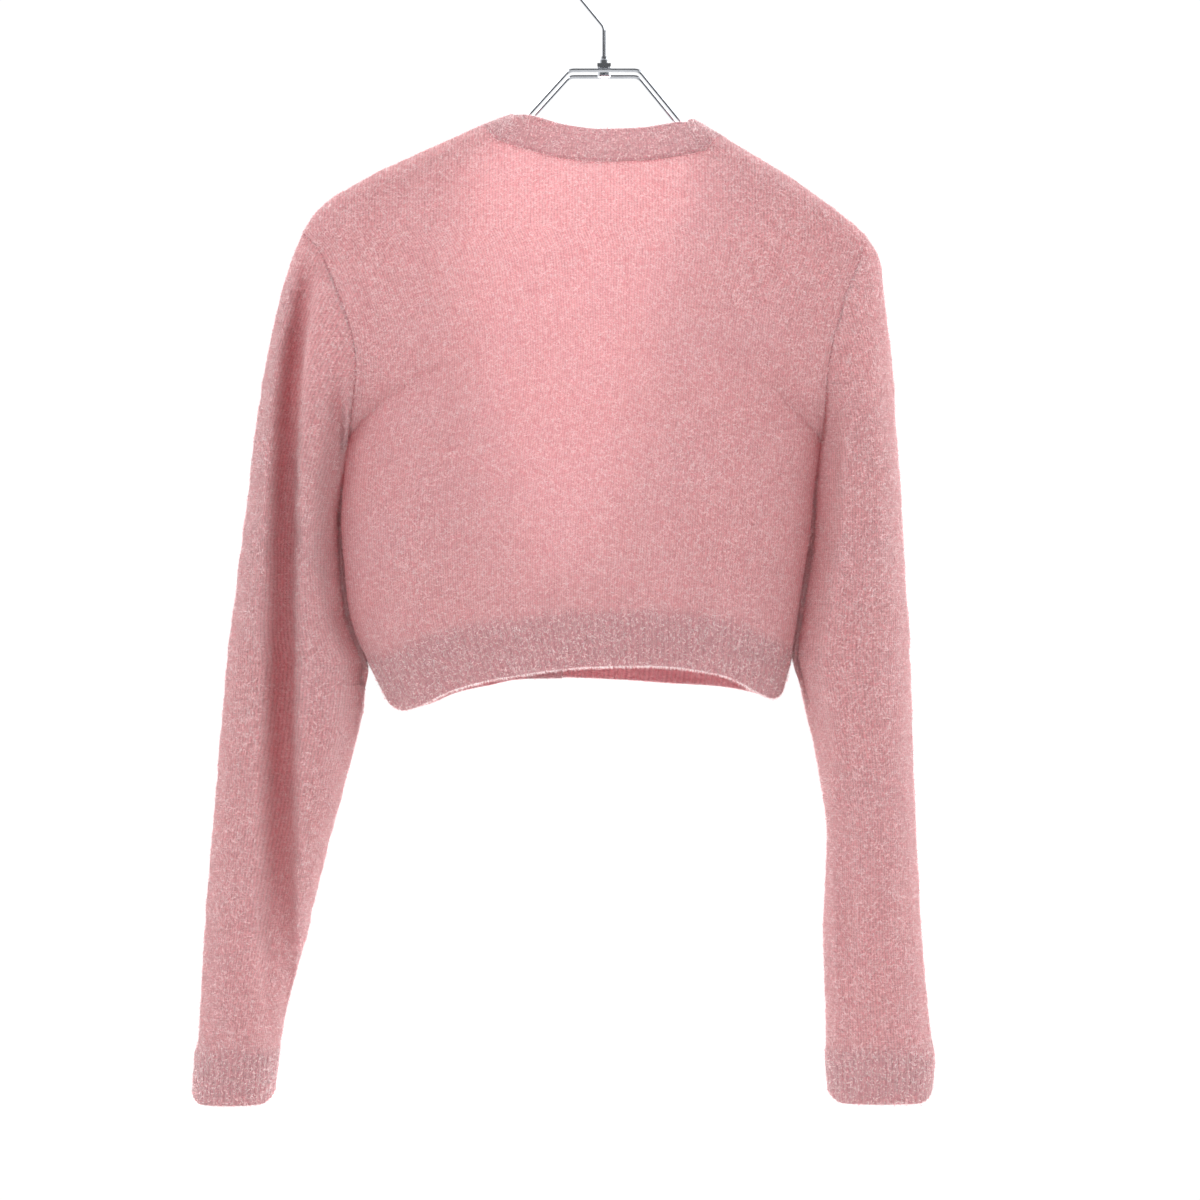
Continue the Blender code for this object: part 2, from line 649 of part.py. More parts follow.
def settle(across_of, height_of):
    """The height where a slanting column meets height_of(across)."""
    z = height_of(across_of(RIDGE[0].z))
    for _ in range(12):
        z = height_of(across_of(z))
    return z


def build_front(name, side, seam, material):
    """One front, from its side to the seam of the band; gives the places along it."""
    seam_x = curve(seam, "z", "x")
    under = side is LEFT
    shares = side_drops(side, side.angles_front, FRONT_SIDE_ROWS,
                        front_hem(side.sign) + RIB_DEPTH)
    grid = []
    places = []
    for j in range(FRONT_COLUMNS + 1):
        even = j / FRONT_COLUMNS
        t = mix(1 - math.cos(math.pi / 2 * even), even, 0.12)
        across_of = partial(front_across, side, seam_x, t)
        hem_z = settle(across_of, front_hem)
        rib_z = settle(across_of, lambda across: front_hem(across) + RIB_DEPTH)
        low_drop = ridge_over(across_of(rib_z)) - rib_z
        own = own_lengths(0.0, length_to(low_drop), FRONT_ARMHOLE_ROWS,
                          FRONT_SIDE_ROWS, FRONT_ARMHOLE_SHARE)
        lengths = column_lengths(own, shares, low_drop, (1 - t) ** 4)
        places = []
        for length in lengths:
            z = settle(across_of, lambda across: ridge_over(across) - drop_after(length))
            places.append((across_of(z), -length))
        for z in rib_heights(hem_z):
            across = across_of(z)
            places.append((across, -length_to(ridge_over(across) - z)))
        grid.append([body_point(across, length, under) for across, length in places])
    rows = [list(row) for row in zip(*grid)]
    normals = grid_normals(rows, False, FRONT_COLUMNS // 2, Vector((0, -1, 0)))
    set_side_edge(rows, normals, 0, side, side.angles_front, -1)
    flatten_ridge(rows, normals, range(1, FRONT_COLUMNS + 1), -1)
    for i, (across, length) in enumerate(places[1:], 1):
        normals[i][-1] = surface_normal(across, length, under)
    ribbed_wall(name, rows, normals, material, False)
    return places


def front_across(side, seam_x, t, z):
    """Across position of a front's column at a height: t is 0 at the side, 1 at the seam."""
    return mix(side.sign, across_at(seam_x(z), z), t)


# ---------------------------------------------------------------- neckband

def slide(across, length, under, along, distance):
    """Moves over the cloth by a distance, at a right angle to the seam."""
    sideways, lengthways = tangents(across, length, under)
    toward = along.cross(sideways.cross(lengthways).normalized())
    ss, sl, ll = sideways.dot(sideways), sideways.dot(lengthways), lengthways.dot(lengthways)
    s, l = sideways.dot(toward), lengthways.dot(toward)
    scale = distance / (ss * ll - sl * sl)
    return across + (s * ll - l * sl) * scale, length + (l * ss - s * sl) * scale


def walk(points, reach):
    """The point this far along a row of points."""
    for before, after in zip(points, points[1:]):
        step = (after - before).length
        if step >= reach:
            return before.lerp(after, reach / step)
        reach -= step
    return points[-1]


def build_neckband(right_places, neck_places, left_places, material):
    """The band: rows run from the seam to its free edge, over the cloth's surface."""
    places = right_places[::-1] + neck_places + left_places
    left_start = len(places) - len(left_places)
    seam = [body_point(*place, i >= left_start) for i, place in enumerate(places)]
    outer, inner = [], []
    for i, (across, length) in enumerate(places):
        under = i >= left_start
        along = (walk(seam[i:], BAND_TURN) - walk(seam[i::-1], BAND_TURN)).normalized()
        across, length = slide(across, length, under, along, SEAM_GAP)
        outer_line, inner_line = [], []
        for k in range(BAND_STEPS + 1):
            if k:
                across, length = slide(across, length, under, along, BAND_WIDTH / BAND_STEPS)
            if k % 2 == 0:
                point = body_point(across, length, under)
                normal = surface_normal(across, length, under)
                outer_line.append(point + normal * BAND_PROUD)
                inner_line.append(point - normal * (BAND_CLOTH - BAND_PROUD))
        outer.append(outer_line)
        inner.append(inner_line)
    return make_wall("neckband", outer, inner, material, False)


# ---------------------------------------------------------------- sleeves

def build_sleeve(name, side, material):
    inner = curve(side.tube, "z", "inner")
    outer = curve(side.tube, "z", "outer")
    depth = curve(side.tube, "z", "depth")
    middle_y = curve(side.tube, "z", "y")
    fold_x = curve(side.trough, "z", "x")
    fold_depth = curve(side.trough, "z", "depth")
    fold_width = curve(side.trough, "z", "width")
    back = [(angle, 1) for angle in side.angles_back]
    front = [(angle, -1) for angle in reversed(side.angles_front[1:-1])]
    spokes = back + front

    def section(angle, face, z):
        """A point of the sleeve's own section at this height."""
        c, s = math.cos(angle), math.sin(angle)
        power = 2 / SLEEVE_POWER
        half = (outer(z) - inner(z)) / 2
        x = (outer(z) + inner(z)) / 2 + half * math.copysign(abs(c) ** power, c)
        y = middle_y(z) + face * depth(z) * s ** power
        return Vector((x, y, z))

    def folded(point, face):
        z = point.z
        if face > 0 and z < side.trough[0].z:
            aside = (point.x - fold_x(z)) / fold_width(z)
            point.y -= fold_depth(z) * math.exp(-aside ** 4)
        return point

    cuff_z = side.tube[-1].z
    rib_z = cuff_z + RIB_DEPTH
    grid = []
    for angle, face in spokes:
        seam, _ = armhole(side, angle, face)
        start = seam + seam_shift(side, angle, face)
        error = start - section(angle, face, seam.z)
        column = []
        heights = [mix(seam.z, rib_z, (i / SLEEVE_RINGS) ** 1.25)
                   for i in range(SLEEVE_RINGS + 1)]
        heights += rib_heights(cuff_z)
        for z in heights:
            share = (seam.z - z) / (seam.z - rib_z)
            keep = max(1 - share / CAP_SHARE, 0.0) ** 2
            bent = section(angle, face, z) + error * keep
            bent.z = z
            column.append(folded(bent, face) if share > 0 else start.copy())
        grid.append(column)
    rows = [list(row) for row in zip(*grid)]
    normals = grid_normals(rows, True, 0, Vector((side.sign, 0, 0)))
    for j, (angle, face) in enumerate(spokes):
        normals[0][j] = armhole(side, angle, face)[1]
    ribbed_wall(name, rows, normals, material, True)


# ---------------------------------------------------------------- turned pieces

def turned(name, profile, closed, material):
    """A piece turned round Z from its profile; a closed profile makes a ring."""
    mesh = bpy.data.meshes.new(name)
    verts = [(row.radius * MM, 0.0, row.z * MM) for row in profile]
    edges = [(i, i + 1) for i in range(len(profile) - 1)]
    if closed:
        edges.append((len(profile) - 1, 0))
    mesh.from_pydata(verts, edges, [])
    thing = add_object(name, mesh, material)
    screw = thing.modifiers.new("turn", "SCREW")
    screw.axis = "Z"
    screw.angle = 2 * math.pi
    screw.steps = TURN_STEPS
    screw.render_steps = TURN_STEPS
    screw.use_merge_vertices = True
    screw.merge_threshold = 0.0
    return thing


def cut(thing, cutter):
    cutter.hide_render = True
    cutter.display_type = "WIRE"
    modifier = thing.modifiers.new(cutter.name, "BOOLEAN")
    modifier.operation = "DIFFERENCE"
    modifier.solver = "EXACT"
    modifier.object = cutter


def bore(name, diameter, top, low):
    """A round cutter along Z."""
    bm = bmesh.new()
    bmesh.ops.create_cone(bm, cap_ends=True, segments=TURN_STEPS, radius1=diameter / 2 * MM,
                          radius2=diameter / 2 * MM, depth=(top - low) * MM)
    for vert in bm.verts:
        vert.co.z += (top + low) / 2 * MM
    mesh = bpy.data.meshes.new(name)
    bm.to_mesh(mesh)
    bm.free()
    cutter = bpy.data.objects.new(name, mesh)
    cutters_collection.objects.link(cutter)
    return cutter


def place_on_band(thing, z):
    """Sets a turned piece on the upper band at this height, its axis out of the cloth."""
    x = curve(FRONT_SEAM_RIGHT, "z", "x")(z) + BAND_WIDTH / 2
    across = across_at(x, z)
    length = -length_to(ridge_over(across) - z)
    normal = surface_normal(across, length)
    thing.location = (body_point(across, length) + normal * BAND_PROUD) * MM
    thing.rotation_mode = "QUATERNION"
    thing.rotation_quaternion = normal.to_track_quat("Z", "X")


def build_buttons(band, material):
    """Turned buttons; the stem passes the upper band's buttonhole to the lower band."""
    for i, z in enumerate(BUTTON_Z, 1):
        place_on_band(turned(f"button_{i}", BUTTON_PROFILE, False, material), z)
        hole = bore(f"buttonhole_{i}", BUTTONHOLE, *BUTTONHOLE_REACH)
        place_on_band(hole, z)
        cut(band, hole)


# ---------------------------------------------------------------- hanger

def rounded(corners, radii, steps=4):
    """A line through corners, each of the inner ones rounded by an arc's points."""
    line = [corners[0]]
    for i, radius in enumerate(radii, 1):
        corner = corners[i]
        before = (corners[i - 1] - corner).normalized()
        after = (corners[i + 1] - corner).normalized()
        half = before.angle(after) / 2
        centre = corner + (before + after).normalized() * (radius / math.sin(half))
        start = corner + before * (radius / math.tan(half)) - centre
        end = corner + after * (radius / math.tan(half)) - centre
        whole = start.angle(end)
        for step in range(steps + 1):
            t = step / steps
            weights = (math.sin((1 - t) * whole), math.sin(t * whole))
            line.append(centre + (start * weights[0] + end * weights[1]) / math.sin(whole))
    line.append(corners[-1])
    return line


def wire(name, points, material, cyclic):
    data = bpy.data.curves.new(name, "CURVE")
    data.dimensions = "3D"
    data.bevel_depth = WIRE / 2 * MM
    data.bevel_resolution = 2
    data.use_fill_caps = True
    spline = data.splines.new("POLY")
    spline.points.add(len(points) - 1)
    for place, point in zip(spline.points, points):
        place.co = (*(point * MM), 1.0)
    spline.use_cyclic_u = cyclic
    data.materials.append(material)
    thing = bpy.data.objects.new(name, data)
    parts_collection.objects.link(thing)
    return thing


def hanger_arm(side):
    """Half of one wire, from the middle of the top run to where the end's bend starts."""
    neck_low = TOP_RUN_Z - (NECK_REACH - TOP_RUN_HALF) * math.tan(NECK_SLOPE)
    straight = ARM_REACH - WIRE_SPACE / 2
    arm_low = neck_low - (straight - NECK_REACH) * math.tan(ARM_SLOPE)
    corners = [Vector((0.0, 0.0, TOP_RUN_Z)), Vector((TOP_RUN_HALF, 0.0, TOP_RUN_Z)),
               Vector((NECK_REACH, 0.0, neck_low)), Vector((straight, 0.0, arm_low))]
    line = rounded(corners, BEND_RADIUS)[1:]
    for point in line:
        point.z += side * max(point.x - TOP_RUN_HALF, 0.0) * math.tan(HANGER_TILT)
        point.x *= side
    return line


def build_hanger_wire(material):
    """One loop: two wires side by side, joined by a half circle at each end."""
    radius = WIRE_SPACE / 2
    loop = []
    for side in (1, -1):
        arm = hanger_arm(side)
        fall = (arm[-1] - arm[-2]) / abs(arm[-1].x - arm[-2].x)
        loop += [point + Vector((0.0, side * radius, 0.0)) for point in arm]
        for step in range(1, END_STEPS):
            turn = math.pi * step / END_STEPS
            out = arm[-1] + fall * (radius * math.sin(turn))
            loop.append(out + Vector((0.0, side * radius * math.cos(turn), 0.0)))
        loop += [point - Vector((0.0, side * radius, 0.0)) for point in reversed(arm)]
    return wire("hanger_wire", loop, material, True)


def build_hook(material):
    centre = Vector((0.0, 0.0, -HOOK_INSIDE))
    circle = []
    for step in range(HOOK_STEPS + 1):
        turn = mix(-HOOK_LEAN, HOOK_END, step / HOOK_STEPS)
        circle.append(centre + HOOK_RADIUS * Vector((math.cos(turn), 0.0, math.sin(turn))))
    straight = circle[0].x / math.sin(HOOK_LEAN)
    bend = Vector((0.0, 0.0, circle[0].z - straight * math.cos(HOOK_LEAN)))
    corners = [Vector((0.0, 0.0, SHANK_LOW)), bend, circle[0]]
    return wire("hanger_hook", rounded(corners, (HOOK_BEND,)) + circle[1:], material, False)


def build_bridge(material):
    bm = bmesh.new()
    bmesh.ops.create_cube(bm, size=1.0)
    middle = BRIDGE_UNDER_Z + BRIDGE[2] / 2
    for vert in bm.verts:
        vert.co = (vert.co.x * BRIDGE[0] * MM, vert.co.y * BRIDGE[1] * MM,
                   (vert.co.z * BRIDGE[2] + middle) * MM)
    mesh = bpy.data.meshes.new("hanger_bridge")
    bm.to_mesh(mesh)
    bm.free()
    bridge = add_object("hanger_bridge", mesh, material)
    cut(bridge, bore("shank_bore", BORE, BRIDGE_UNDER_Z + 6.0, BRIDGE_UNDER_Z - 3.0))


# ---------------------------------------------------------------- scene data

def add_object(name, mesh, material):
    mesh.materials.clear()
    mesh.materials.append(material)
    mesh.shade_smooth()
    mesh.set_sharp_from_angle(angle=math.radians(45))
    thing = bpy.data.objects.new(name, mesh)
    parts_collection.objects.link(thing)
    return thing


def make_material(name, color, roughness, metallic):
    material = bpy.data.materials.new(name)
    material.use_nodes = True
    shader = material.node_tree.nodes["Principled BSDF"]
    shader.inputs["Base Color"].default_value = (*color, 1.0)
    shader.inputs["Roughness"].default_value = roughness
    shader.inputs["Metallic"].default_value = metallic
    return material


def make_collection(name):
    collection = bpy.data.collections.new(name)
    bpy.context.scene.collection.children.link(collection)
    return collection


def clear_scene():
    for thing in list(bpy.data.objects):
        bpy.data.objects.remove(thing, do_unlink=True)


clear_scene()
parts_collection = make_collection("cardigan_on_hanger")
cutters_collection = make_collection("cutters")
wool = make_material("pink_wool", (0.66, 0.36, 0.38), 0.95, 0.0)
band_wool = make_material("pink_wool_band", (0.62, 0.33, 0.35), 0.95, 0.0)
chrome = make_material("chrome_wire", (0.75, 0.76, 0.78), 0.12, 1.0)
shell = make_material("pink_button", (0.70, 0.42, 0.44), 0.35, 0.0)

neck_stations = build_back(wool)
left_stations = build_front("front_left", LEFT, FRONT_SEAM_LEFT, wool)
right_stations = build_front("front_right", RIGHT, FRONT_SEAM_RIGHT, wool)
neckband = build_neckband(right_stations, neck_stations, left_stations, band_wool)
build_sleeve("sleeve_left", LEFT, wool)
build_sleeve("sleeve_right", RIGHT, wool)
build_buttons(neckband, shell)
build_hanger_wire(chrome)
build_bridge(chrome)
turned("hanger_collar", COLLAR, True, chrome)
turned("hanger_nut", NUT, True, chrome)
build_hook(chrome)
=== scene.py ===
"""Looks of the felted wool cardigan on its double-wire hanger.

Every cloth piece is a dense thin wall on the same surface as its CAD solid, with
rounded felted edges, soft creases, ribs and a nap of fine fibres.  The fronts face
-Y and the back faces +Y; +X is the wearer's left.
Sizes and tables are in millimetres; meshes, lamps and the camera are in metres.
"""

import json
import math
from collections import namedtuple

import bpy
import numpy as np
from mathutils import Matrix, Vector

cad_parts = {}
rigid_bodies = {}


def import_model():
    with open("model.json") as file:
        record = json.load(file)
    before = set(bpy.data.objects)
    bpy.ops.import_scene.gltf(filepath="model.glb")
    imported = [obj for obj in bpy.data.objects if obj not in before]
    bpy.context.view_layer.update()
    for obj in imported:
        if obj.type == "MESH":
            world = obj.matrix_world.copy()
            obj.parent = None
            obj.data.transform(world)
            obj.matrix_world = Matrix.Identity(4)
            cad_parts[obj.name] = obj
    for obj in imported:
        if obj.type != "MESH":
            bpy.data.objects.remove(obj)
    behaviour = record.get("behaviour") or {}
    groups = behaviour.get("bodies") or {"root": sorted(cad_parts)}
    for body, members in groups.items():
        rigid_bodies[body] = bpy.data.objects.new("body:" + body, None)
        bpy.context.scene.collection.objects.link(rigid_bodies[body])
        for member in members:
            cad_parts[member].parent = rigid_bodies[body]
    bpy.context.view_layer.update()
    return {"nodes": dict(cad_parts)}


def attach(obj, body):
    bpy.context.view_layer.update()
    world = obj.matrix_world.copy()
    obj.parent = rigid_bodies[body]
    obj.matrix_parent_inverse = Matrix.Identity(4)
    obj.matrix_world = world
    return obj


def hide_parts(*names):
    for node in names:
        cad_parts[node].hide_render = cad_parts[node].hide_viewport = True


MM = 0.001                # millimetres to metres
TAU = 2 * math.pi

# Cloth
CLOTH = 2.6               # thickness of the felted knit
BAND_CLOTH = 3.0          # the neckband is a little thicker
BAND_PROUD = 0.4          # and stands this much above the panels
BAND_WIDTH = 25.0
BAND_TUCK = 0.3           # the band's seam edge lies this far over the panels' edges
NECK_TURN = 1.9           # steepness of the neck seam where it comes over the ridge
BAND_TURN = 16.0          # the band's direction is its seam's over this much to each side
LAP = 3.7                 # the left front lies this far inside the right one
LAP_START = (105.0, -385.0)     # x and z where it starts to sink,
LAP_RUN_IN = (40.0, 55.0)       # and the distances in which it does

# Ribs of the hem and cuffs
RIB_RELIEF = 1.1
RIB_DEPTH = 46.0          # height of the ribbed hem and cuffs
RIB_RUN_IN = 9.0          # ribs reach their full height in this distance
RIB_PITCH = 4.3
RIB_POINTS = 4            # points across one rib
HEM_ROUND = 8.5           # radius of the hems' corners at the side seams,
HEM_TURN = 0.93           # which start this far across
CUFF_ROUND = 8.0          # and of the cuffs' corners at their two sides
CUFF_TURN = 0.74
RIB_ROWS = 20

# The shoulder ridge: cloth laid over the hanger's two wires
RIDGE_FLAT = 12.0         # from the ridge line to where the cloth bends down
RIDGE_RADIUS = 12.0       # of the bend over a wire
RIDGE_HALF = RIDGE_FLAT + RIDGE_RADIUS
RIDGE_ARC = RIDGE_FLAT + RIDGE_RADIUS * math.pi / 2
BEND_ROWS = tuple(0.25 * i for i in range(1, 11))   # rows over the bend, by RIDGE_RADIUS
SHOULDER_FALL = 130.0     # below the ridge the body has its full depth
BODY_POWER = 2.3          # squareness of the body's oval section
SLEEVE_POWER = 2.15       # and of the sleeves'

# Rows and columns of the grids
ARMHOLE_ROWS = 72
SIDE_ROWS = 52
SHOULDER_COLUMNS = 32
NECK_COLUMNS = 84
FRONT_COLUMNS = 64
SLEEVE_SPOKES = 60        # on each face
SLEEVE_RINGS = 210
BAND_STEPS = 16
EDGE_STEPS = (0.35, 0.9, 1.6)   # distances of the first rows from an edge
BACK_ARMHOLE_SHARE = 0.6  # share of a column's length in its upper rows
FRONT_ARMHOLE_SHARE = 0.7
SEAM_ROWS = ARMHOLE_ROWS + len(EDGE_STEPS) + 1  # a side column's rows down to the underarm
BACK_STEPS = (0.00002, 0.0001, 0.0004)  # beside a side seam, as shares of the way to the neck
FRONT_STEPS = (0.003, 0.008)            # beside a front's two edges, as shares of its width
FRONT_SIDE_STEP = 0.014                 # and one more at its side
BAND_MIN_STEP = 0.15      # between places on the band's seam
SPOKE_PITCH = 2.1         # of the sleeves, about
ROUNDS = 12               # of settling where two slanting lines meet


def rows(columns, *values):
    """A table of sizes with named columns."""
    row = namedtuple("Row", columns)
    return tuple(row(*map(float, value)) for value in values)


RIDGE = rows("x z",                     # height of the shoulders' top line, right tip to left tip
    (-188, -207), (-177, -197), (-158, -183), (-126.4, -161.3), (-90.7, -140), (-67, -125.7),
    (-57, -121.5), (-30, -108), (0, -101), (30, -107.5), (62, -119.5), (80, -125.7),
    (113.6, -140), (160.7, -161.3), (187.5, -175.7), (198.5, -183), (207.2, -191.5),
    (216.6, -205),
)

BODY_LEFT = rows("z x",                 # armhole seam down to the underarm, then the side seam
    (-205, 216.6), (-220, 203), (-253, 188), (-281, 179), (-303, 176), (-325, 178), (-354, 184.5),
    (-372, 186.5), (-392, 188.3), (-412, 189.3), (-446, 187), (-474, 184), (-495, 178),
    (-516, 167.5), (-534, 158.5), (-551, 149),
)
BODY_RIGHT = rows("z x",
    (-207, -188), (-220, -184.5), (-235, -178.5), (-253, -171), (-281, -163.5), (-310, -158.5),
    (-354, -156), (-388, -151.5), (-420, -148.5), (-453, -143.5), (-502, -136), (-528, -129.5),
    (-544, -125),
)

BODY_DEPTH = rows("z back front",       # half depths of the body at the middle of each face
    (-200, 50, 46), (-281, 54, 49), (-354, 55, 50), (-440, 52, 48), (-505, 46, 44),
    (-552, 42, 40),
)

BACK_HEM = rows("across z",             # across runs from -1 to 1 between the side seams
    (-1, -543), (-0.88, -535), (-0.66, -521.5), (-0.33, -515.5), (-0.09, -516), (0.38, -524),
    (0.63, -532.5), (0.88, -546), (1, -550),
)
FRONT_HEM = rows("across z",
    (-1, -543), (-0.88, -536.5), (-0.68, -531.5), (-0.43, -529.5), (-0.18, -527), (0.1, -525.5),
    (0.33, -527), (0.45, -530.5), (0.63, -535.5), (0.83, -545), (1, -550),
)

BACK_NECK = rows("x z",                 # seam of the neckband on the back, ridge to ridge
    (-92, -140.8), (-75.6, -146.5), (-54, -152), (-25.6, -156), (3, -156.8), (31.2, -153.7),
    (52.6, -148), (74.3, -140.7), (95.5, -132),
)
FRONT_SEAM_LEFT = rows("z x",           # seam of the band on the left front, from ridge to hem
    (-132, 95.5), (-145, 106), (-160, 114), (-190, 118.5), (-217, 117.5), (-250, 113.5),
    (-289, 106), (-346, 92.5), (-404, 79), (-436, 66), (-469, 58), (-500, 56), (-532, 55.5),
)
FRONT_SEAM_RIGHT = rows("z x",          # the right one turns under the V to lie over the left
    (-140.8, -92), (-160, -96), (-209, -89), (-267, -73), (-339, -57), (-397, -43), (-420, -37),
    (-438, -28), (-452, -15), (-463, 0), (-471, 13), (-480, 24), (-490, 30), (-505, 31),
    (-530, 30.5),
)

# The sleeves' sections: inner and outer edge, half depth and middle
SLEEVE_LEFT = rows("z inner outer depth y",
    (-205, 184, 216.6, 40, 0), (-224, 184, 224.5, 42, 0), (-253, 184, 233, 44, 0),
    (-310, 184.5, 245, 46, 0), (-354, 185, 251.5, 46, 0), (-372, 188.2, 253.5, 46, 0),
    (-392, 190, 255.5, 46, 0), (-425, 190.4, 260.5, 45, 0), (-446, 188.7, 263, 44, 0),
    (-470, 187, 265.5, 43, 0), (-490, 182.6, 269, 41, 0), (-515, 171.2, 271.5, 39, -1),
    (-541, 173, 273.6, 38, -1), (-598, 186, 278.6, 36, -2), (-656, 201.5, 283.7, 35, -3),
    (-713, 215.5, 288, 33, -4), (-771, 230.5, 291.6, 31, -5), (-800, 235.5, 294.5, 30, -5),
    (-830, 239, 296, 29, -5),
)
SLEEVE_RIGHT = rows("z inner outer depth y",
    (-207, -157, -188, 40, 0), (-224, -157, -198, 42, 0), (-253, -157, -201.6, 44, 0),
    (-310, -157.3, -208, 47, 0), (-354, -157, -210.5, 49, 0), (-392, -153, -213.5, 51, 0),
    (-425, -149.6, -215, 51, 0), (-466, -143.3, -217.5, 50, 0), (-490, -139.6, -219.5, 49, 0),
    (-510, -138, -220.5, 48, -1), (-541, -144, -221, 47, -1), (-598, -156, -223, 44, -2),
    (-640, -160.5, -225, 41, -3), (-713, -158.5, -229, 36, -5), (-771, -160, -234.7, 29, -6),
    (-800, -160.5, -237.6, 26, -6), (-830, -163, -235, 23, -6),
)

LEFT_TROUGH = rows("z x depth width",   # the long fold down the back of the left sleeve
    (-222, 209, 0, 7), (-262, 216, 18, 7.5), (-300, 221.5, 28, 8.5), (-395, 227, 33, 9.5),
    (-540, 230, 34, 11), (-650, 232, 28, 11.5), (-720, 233, 15, 12), (-785, 233, 0, 11),
)
LEFT_TUCK = rows("z x depth width",     # where the sleeve's cloth is drawn in beside the body
    (-305, 190, 0, 5), (-345, 190.5, 13, 6), (-380, 194, 19, 7), (-430, 195.5, 20, 7),
    (-480, 190.5, 19, 7), (-520, 177.5, 15, 6.5), (-560, 182, 9, 6), (-600, 191, 0, 6),
)
RIGHT_CREASE = rows("z x depth width",  # a slighter one near the inner edge of the right sleeve
    (-520, -166, 0, 6), (-600, -172, 3, 6), (-700, -173.5, 4, 6), (-780, -174, 1.5, 6),
    (-830, -174, 0, 6),
)
RIGHT_TUCK = rows("z x depth width",
    (-315, -163, 0, 6), (-355, -162, 13, 7), (-390, -159, 20, 8), (-430, -155.5, 23, 8),
    (-470, -149.5, 23, 8), (-510, -144.5, 20, 8), (-550, -152, 12, 7), (-600, -162, 0, 6),
)

# Wide soft dips in the body, deepest at their lower end
HOLLOWS = rows("face x_top x_low z_top z_low width depth",
    (1, 92, 110, -300, -516, 22, 5), (1, -42, -60, -290, -516, 20, 7),
    (-1, -108, -92, -310, -530, 22, 5), (-1, 128, 112, -320, -530, 20, 4),
)

# Armholes
ARMHOLE = rows("turn half",             # half depth, by degrees from shoulder to underarm
    (0, 0), (12, 14.5), (25, 21), (45, 27), (68, 36), (90, 42), (105, 41.5), (125, 34.5),
    (150, 18.5), (180, 0),
)
TIP_LEAN = math.radians(30.0)   # how far the cap's cloth leans from level at the tip
UNDERARM_Z = -354.0
CAP_SHARE = 0.3           # share of the sleeve's length shaped by the armhole
FREE_Z = -524.0           # below this the sleeves hang clear of the body,
FREE_RUN_IN = 25.0        # and from this much above it they lie against it

# Soft creases that only the looks have: a line from top to low, its width and depth;
# a depth below 0 is a ridge
BACK_CREASES = rows("x_top z_top x_low z_low width depth",
    (150, -215, 128, -330, 9, 1.3), (168, -225, 150, -400, 7, 1),
    (-135, -230, -118, -360, 9, 1.2), (84, -400, 100, -520, 9, 1.1),
    (60, -420, 62, -525, 8, -0.7), (-30, -380, -40, -515, 8, -0.8), (-66, -400, -74, -515, 7, 1),
    (-90, -430, -98, -520, 7, -0.6), (20, -450, 22, -520, 9, 0.6),
    (150, -430, 132, -535, 9, -0.8),
)
FRONT_CREASES = rows("x_top z_top x_low z_low width depth",
    (150, -215, 126, -330, 9, 1.3), (168, -225, 150, -400, 7, 1),
    (-135, -230, -116, -360, 9, 1.2), (-70, -400, -78, -525, 8, 1),
    (-52, -430, -50, -528, 8, -0.6), (96, -400, 88, -530, 8, 0.9),
    (140, -430, 128, -535, 9, -0.7),
)
SLEEVE_CREASES = rows("z width depth",  # slight ones across the sleeves
    (-330, 9, 0.8), (-425, 10, 1), (-470, 8, -0.7), (-505, 9, 1.1),
    (-560, 9, -0.6), (-640, 12, 0.7), (-700, 9, -0.6), (-772, 8, 0.9),
)
CREASE_LENGTH = 1.25      # a crease runs on past its low point to this share of its length
LUMP = 0.35               # height of the felt's small unevenness
LUMP_SIZE = 11.0
LUMP_WAVES = 14
BAND_LUMP = 0.6 * LUMP
PANEL_CALM = 12.0         # creases and lumps fade out this near to a panel's edges,
SLEEVE_CALM = 25.0        # a sleeve's seam
BAND_CALM = 5.0           # and the band's edges
FOLD_ROUND = 2.2          # how soon a sleeve's folds begin, going round it
SEAM_GAP = 0.2            # between a sleeve and the body's side under the arm

# Nap: ranges for the curled tufts, and for the loose fibres
NAP_REACH = ((1.6, 3.4), (2.4, 4.6))
NAP_HALF_WIDTH = ((0.20, 0.45), (0.08, 0.15))
NAP_MIDDLE_RISE = ((0.35, 0.8), (0.5, 1.2))
NAP_TIP_RISE = ((-0.1, 0.3), (0.4, 2.2))
LOOSE_SHARE = 0.6
DEEP_SHARE = 0.4          # of the deeper coloured tufts
NAP_CURL = 0.35           # a tuft's sideways bend, as a share of its reach
NAP_ROOT = 0.2            # depth of the roots
FRINGE_REACH = (1.6, 3.6)
FRINGE_HALF_WIDTH = (0.07, 0.2)
FRINGE_ROOT = 0.8
FRINGE_LEAN = 0.5         # spread of the fibres' directions
FRINGE_BEND = 0.15
FRINGE_PER_MM = 8.0
BAND_FRINGE_PER_MM = 3.0

# Stitches of the linked seams
STITCH_PITCH = 2.4
STITCH_LENGTH = 1.9
STITCH_WIDTH = 0.7
STITCH_RISE = 0.35
NECK_STITCHES = ((-1.3, 0.1), (1.4, BAND_PROUD + 0.1))   # distance from the seam, and lift

# Wool
WALE = 2.1                # width of one column of stitches
COURSE = 1.7              # height of one row of stitches
STITCH_LEAN = 1.6
PLAIN_CLOTH = 0.7         # a rib's height in the texture where there are no ribs
MAUVE = (0.80, 0.56, 0.63, 1.0)
# painted shade: the ribbed zone, and most of all the grooves between its ribs, are darkened toward
# this colour
PAINTED_GROOVE_SHADE = (0.62, 0.22, 0.25, 1.0)
LIT_WOOL = (0.93, 0.59, 0.61, 1.0)      # colour of light through a single layer
RIB_LIGHT = (0.79, 0.46, 0.52, 1.0)     # and how the thicker ribs deepen it
RIB_CLEAR = 0.48          # share of the light that goes on through the ribs
SHEEN_TINT = (1.0, 0.94, 0.945, 1.0)

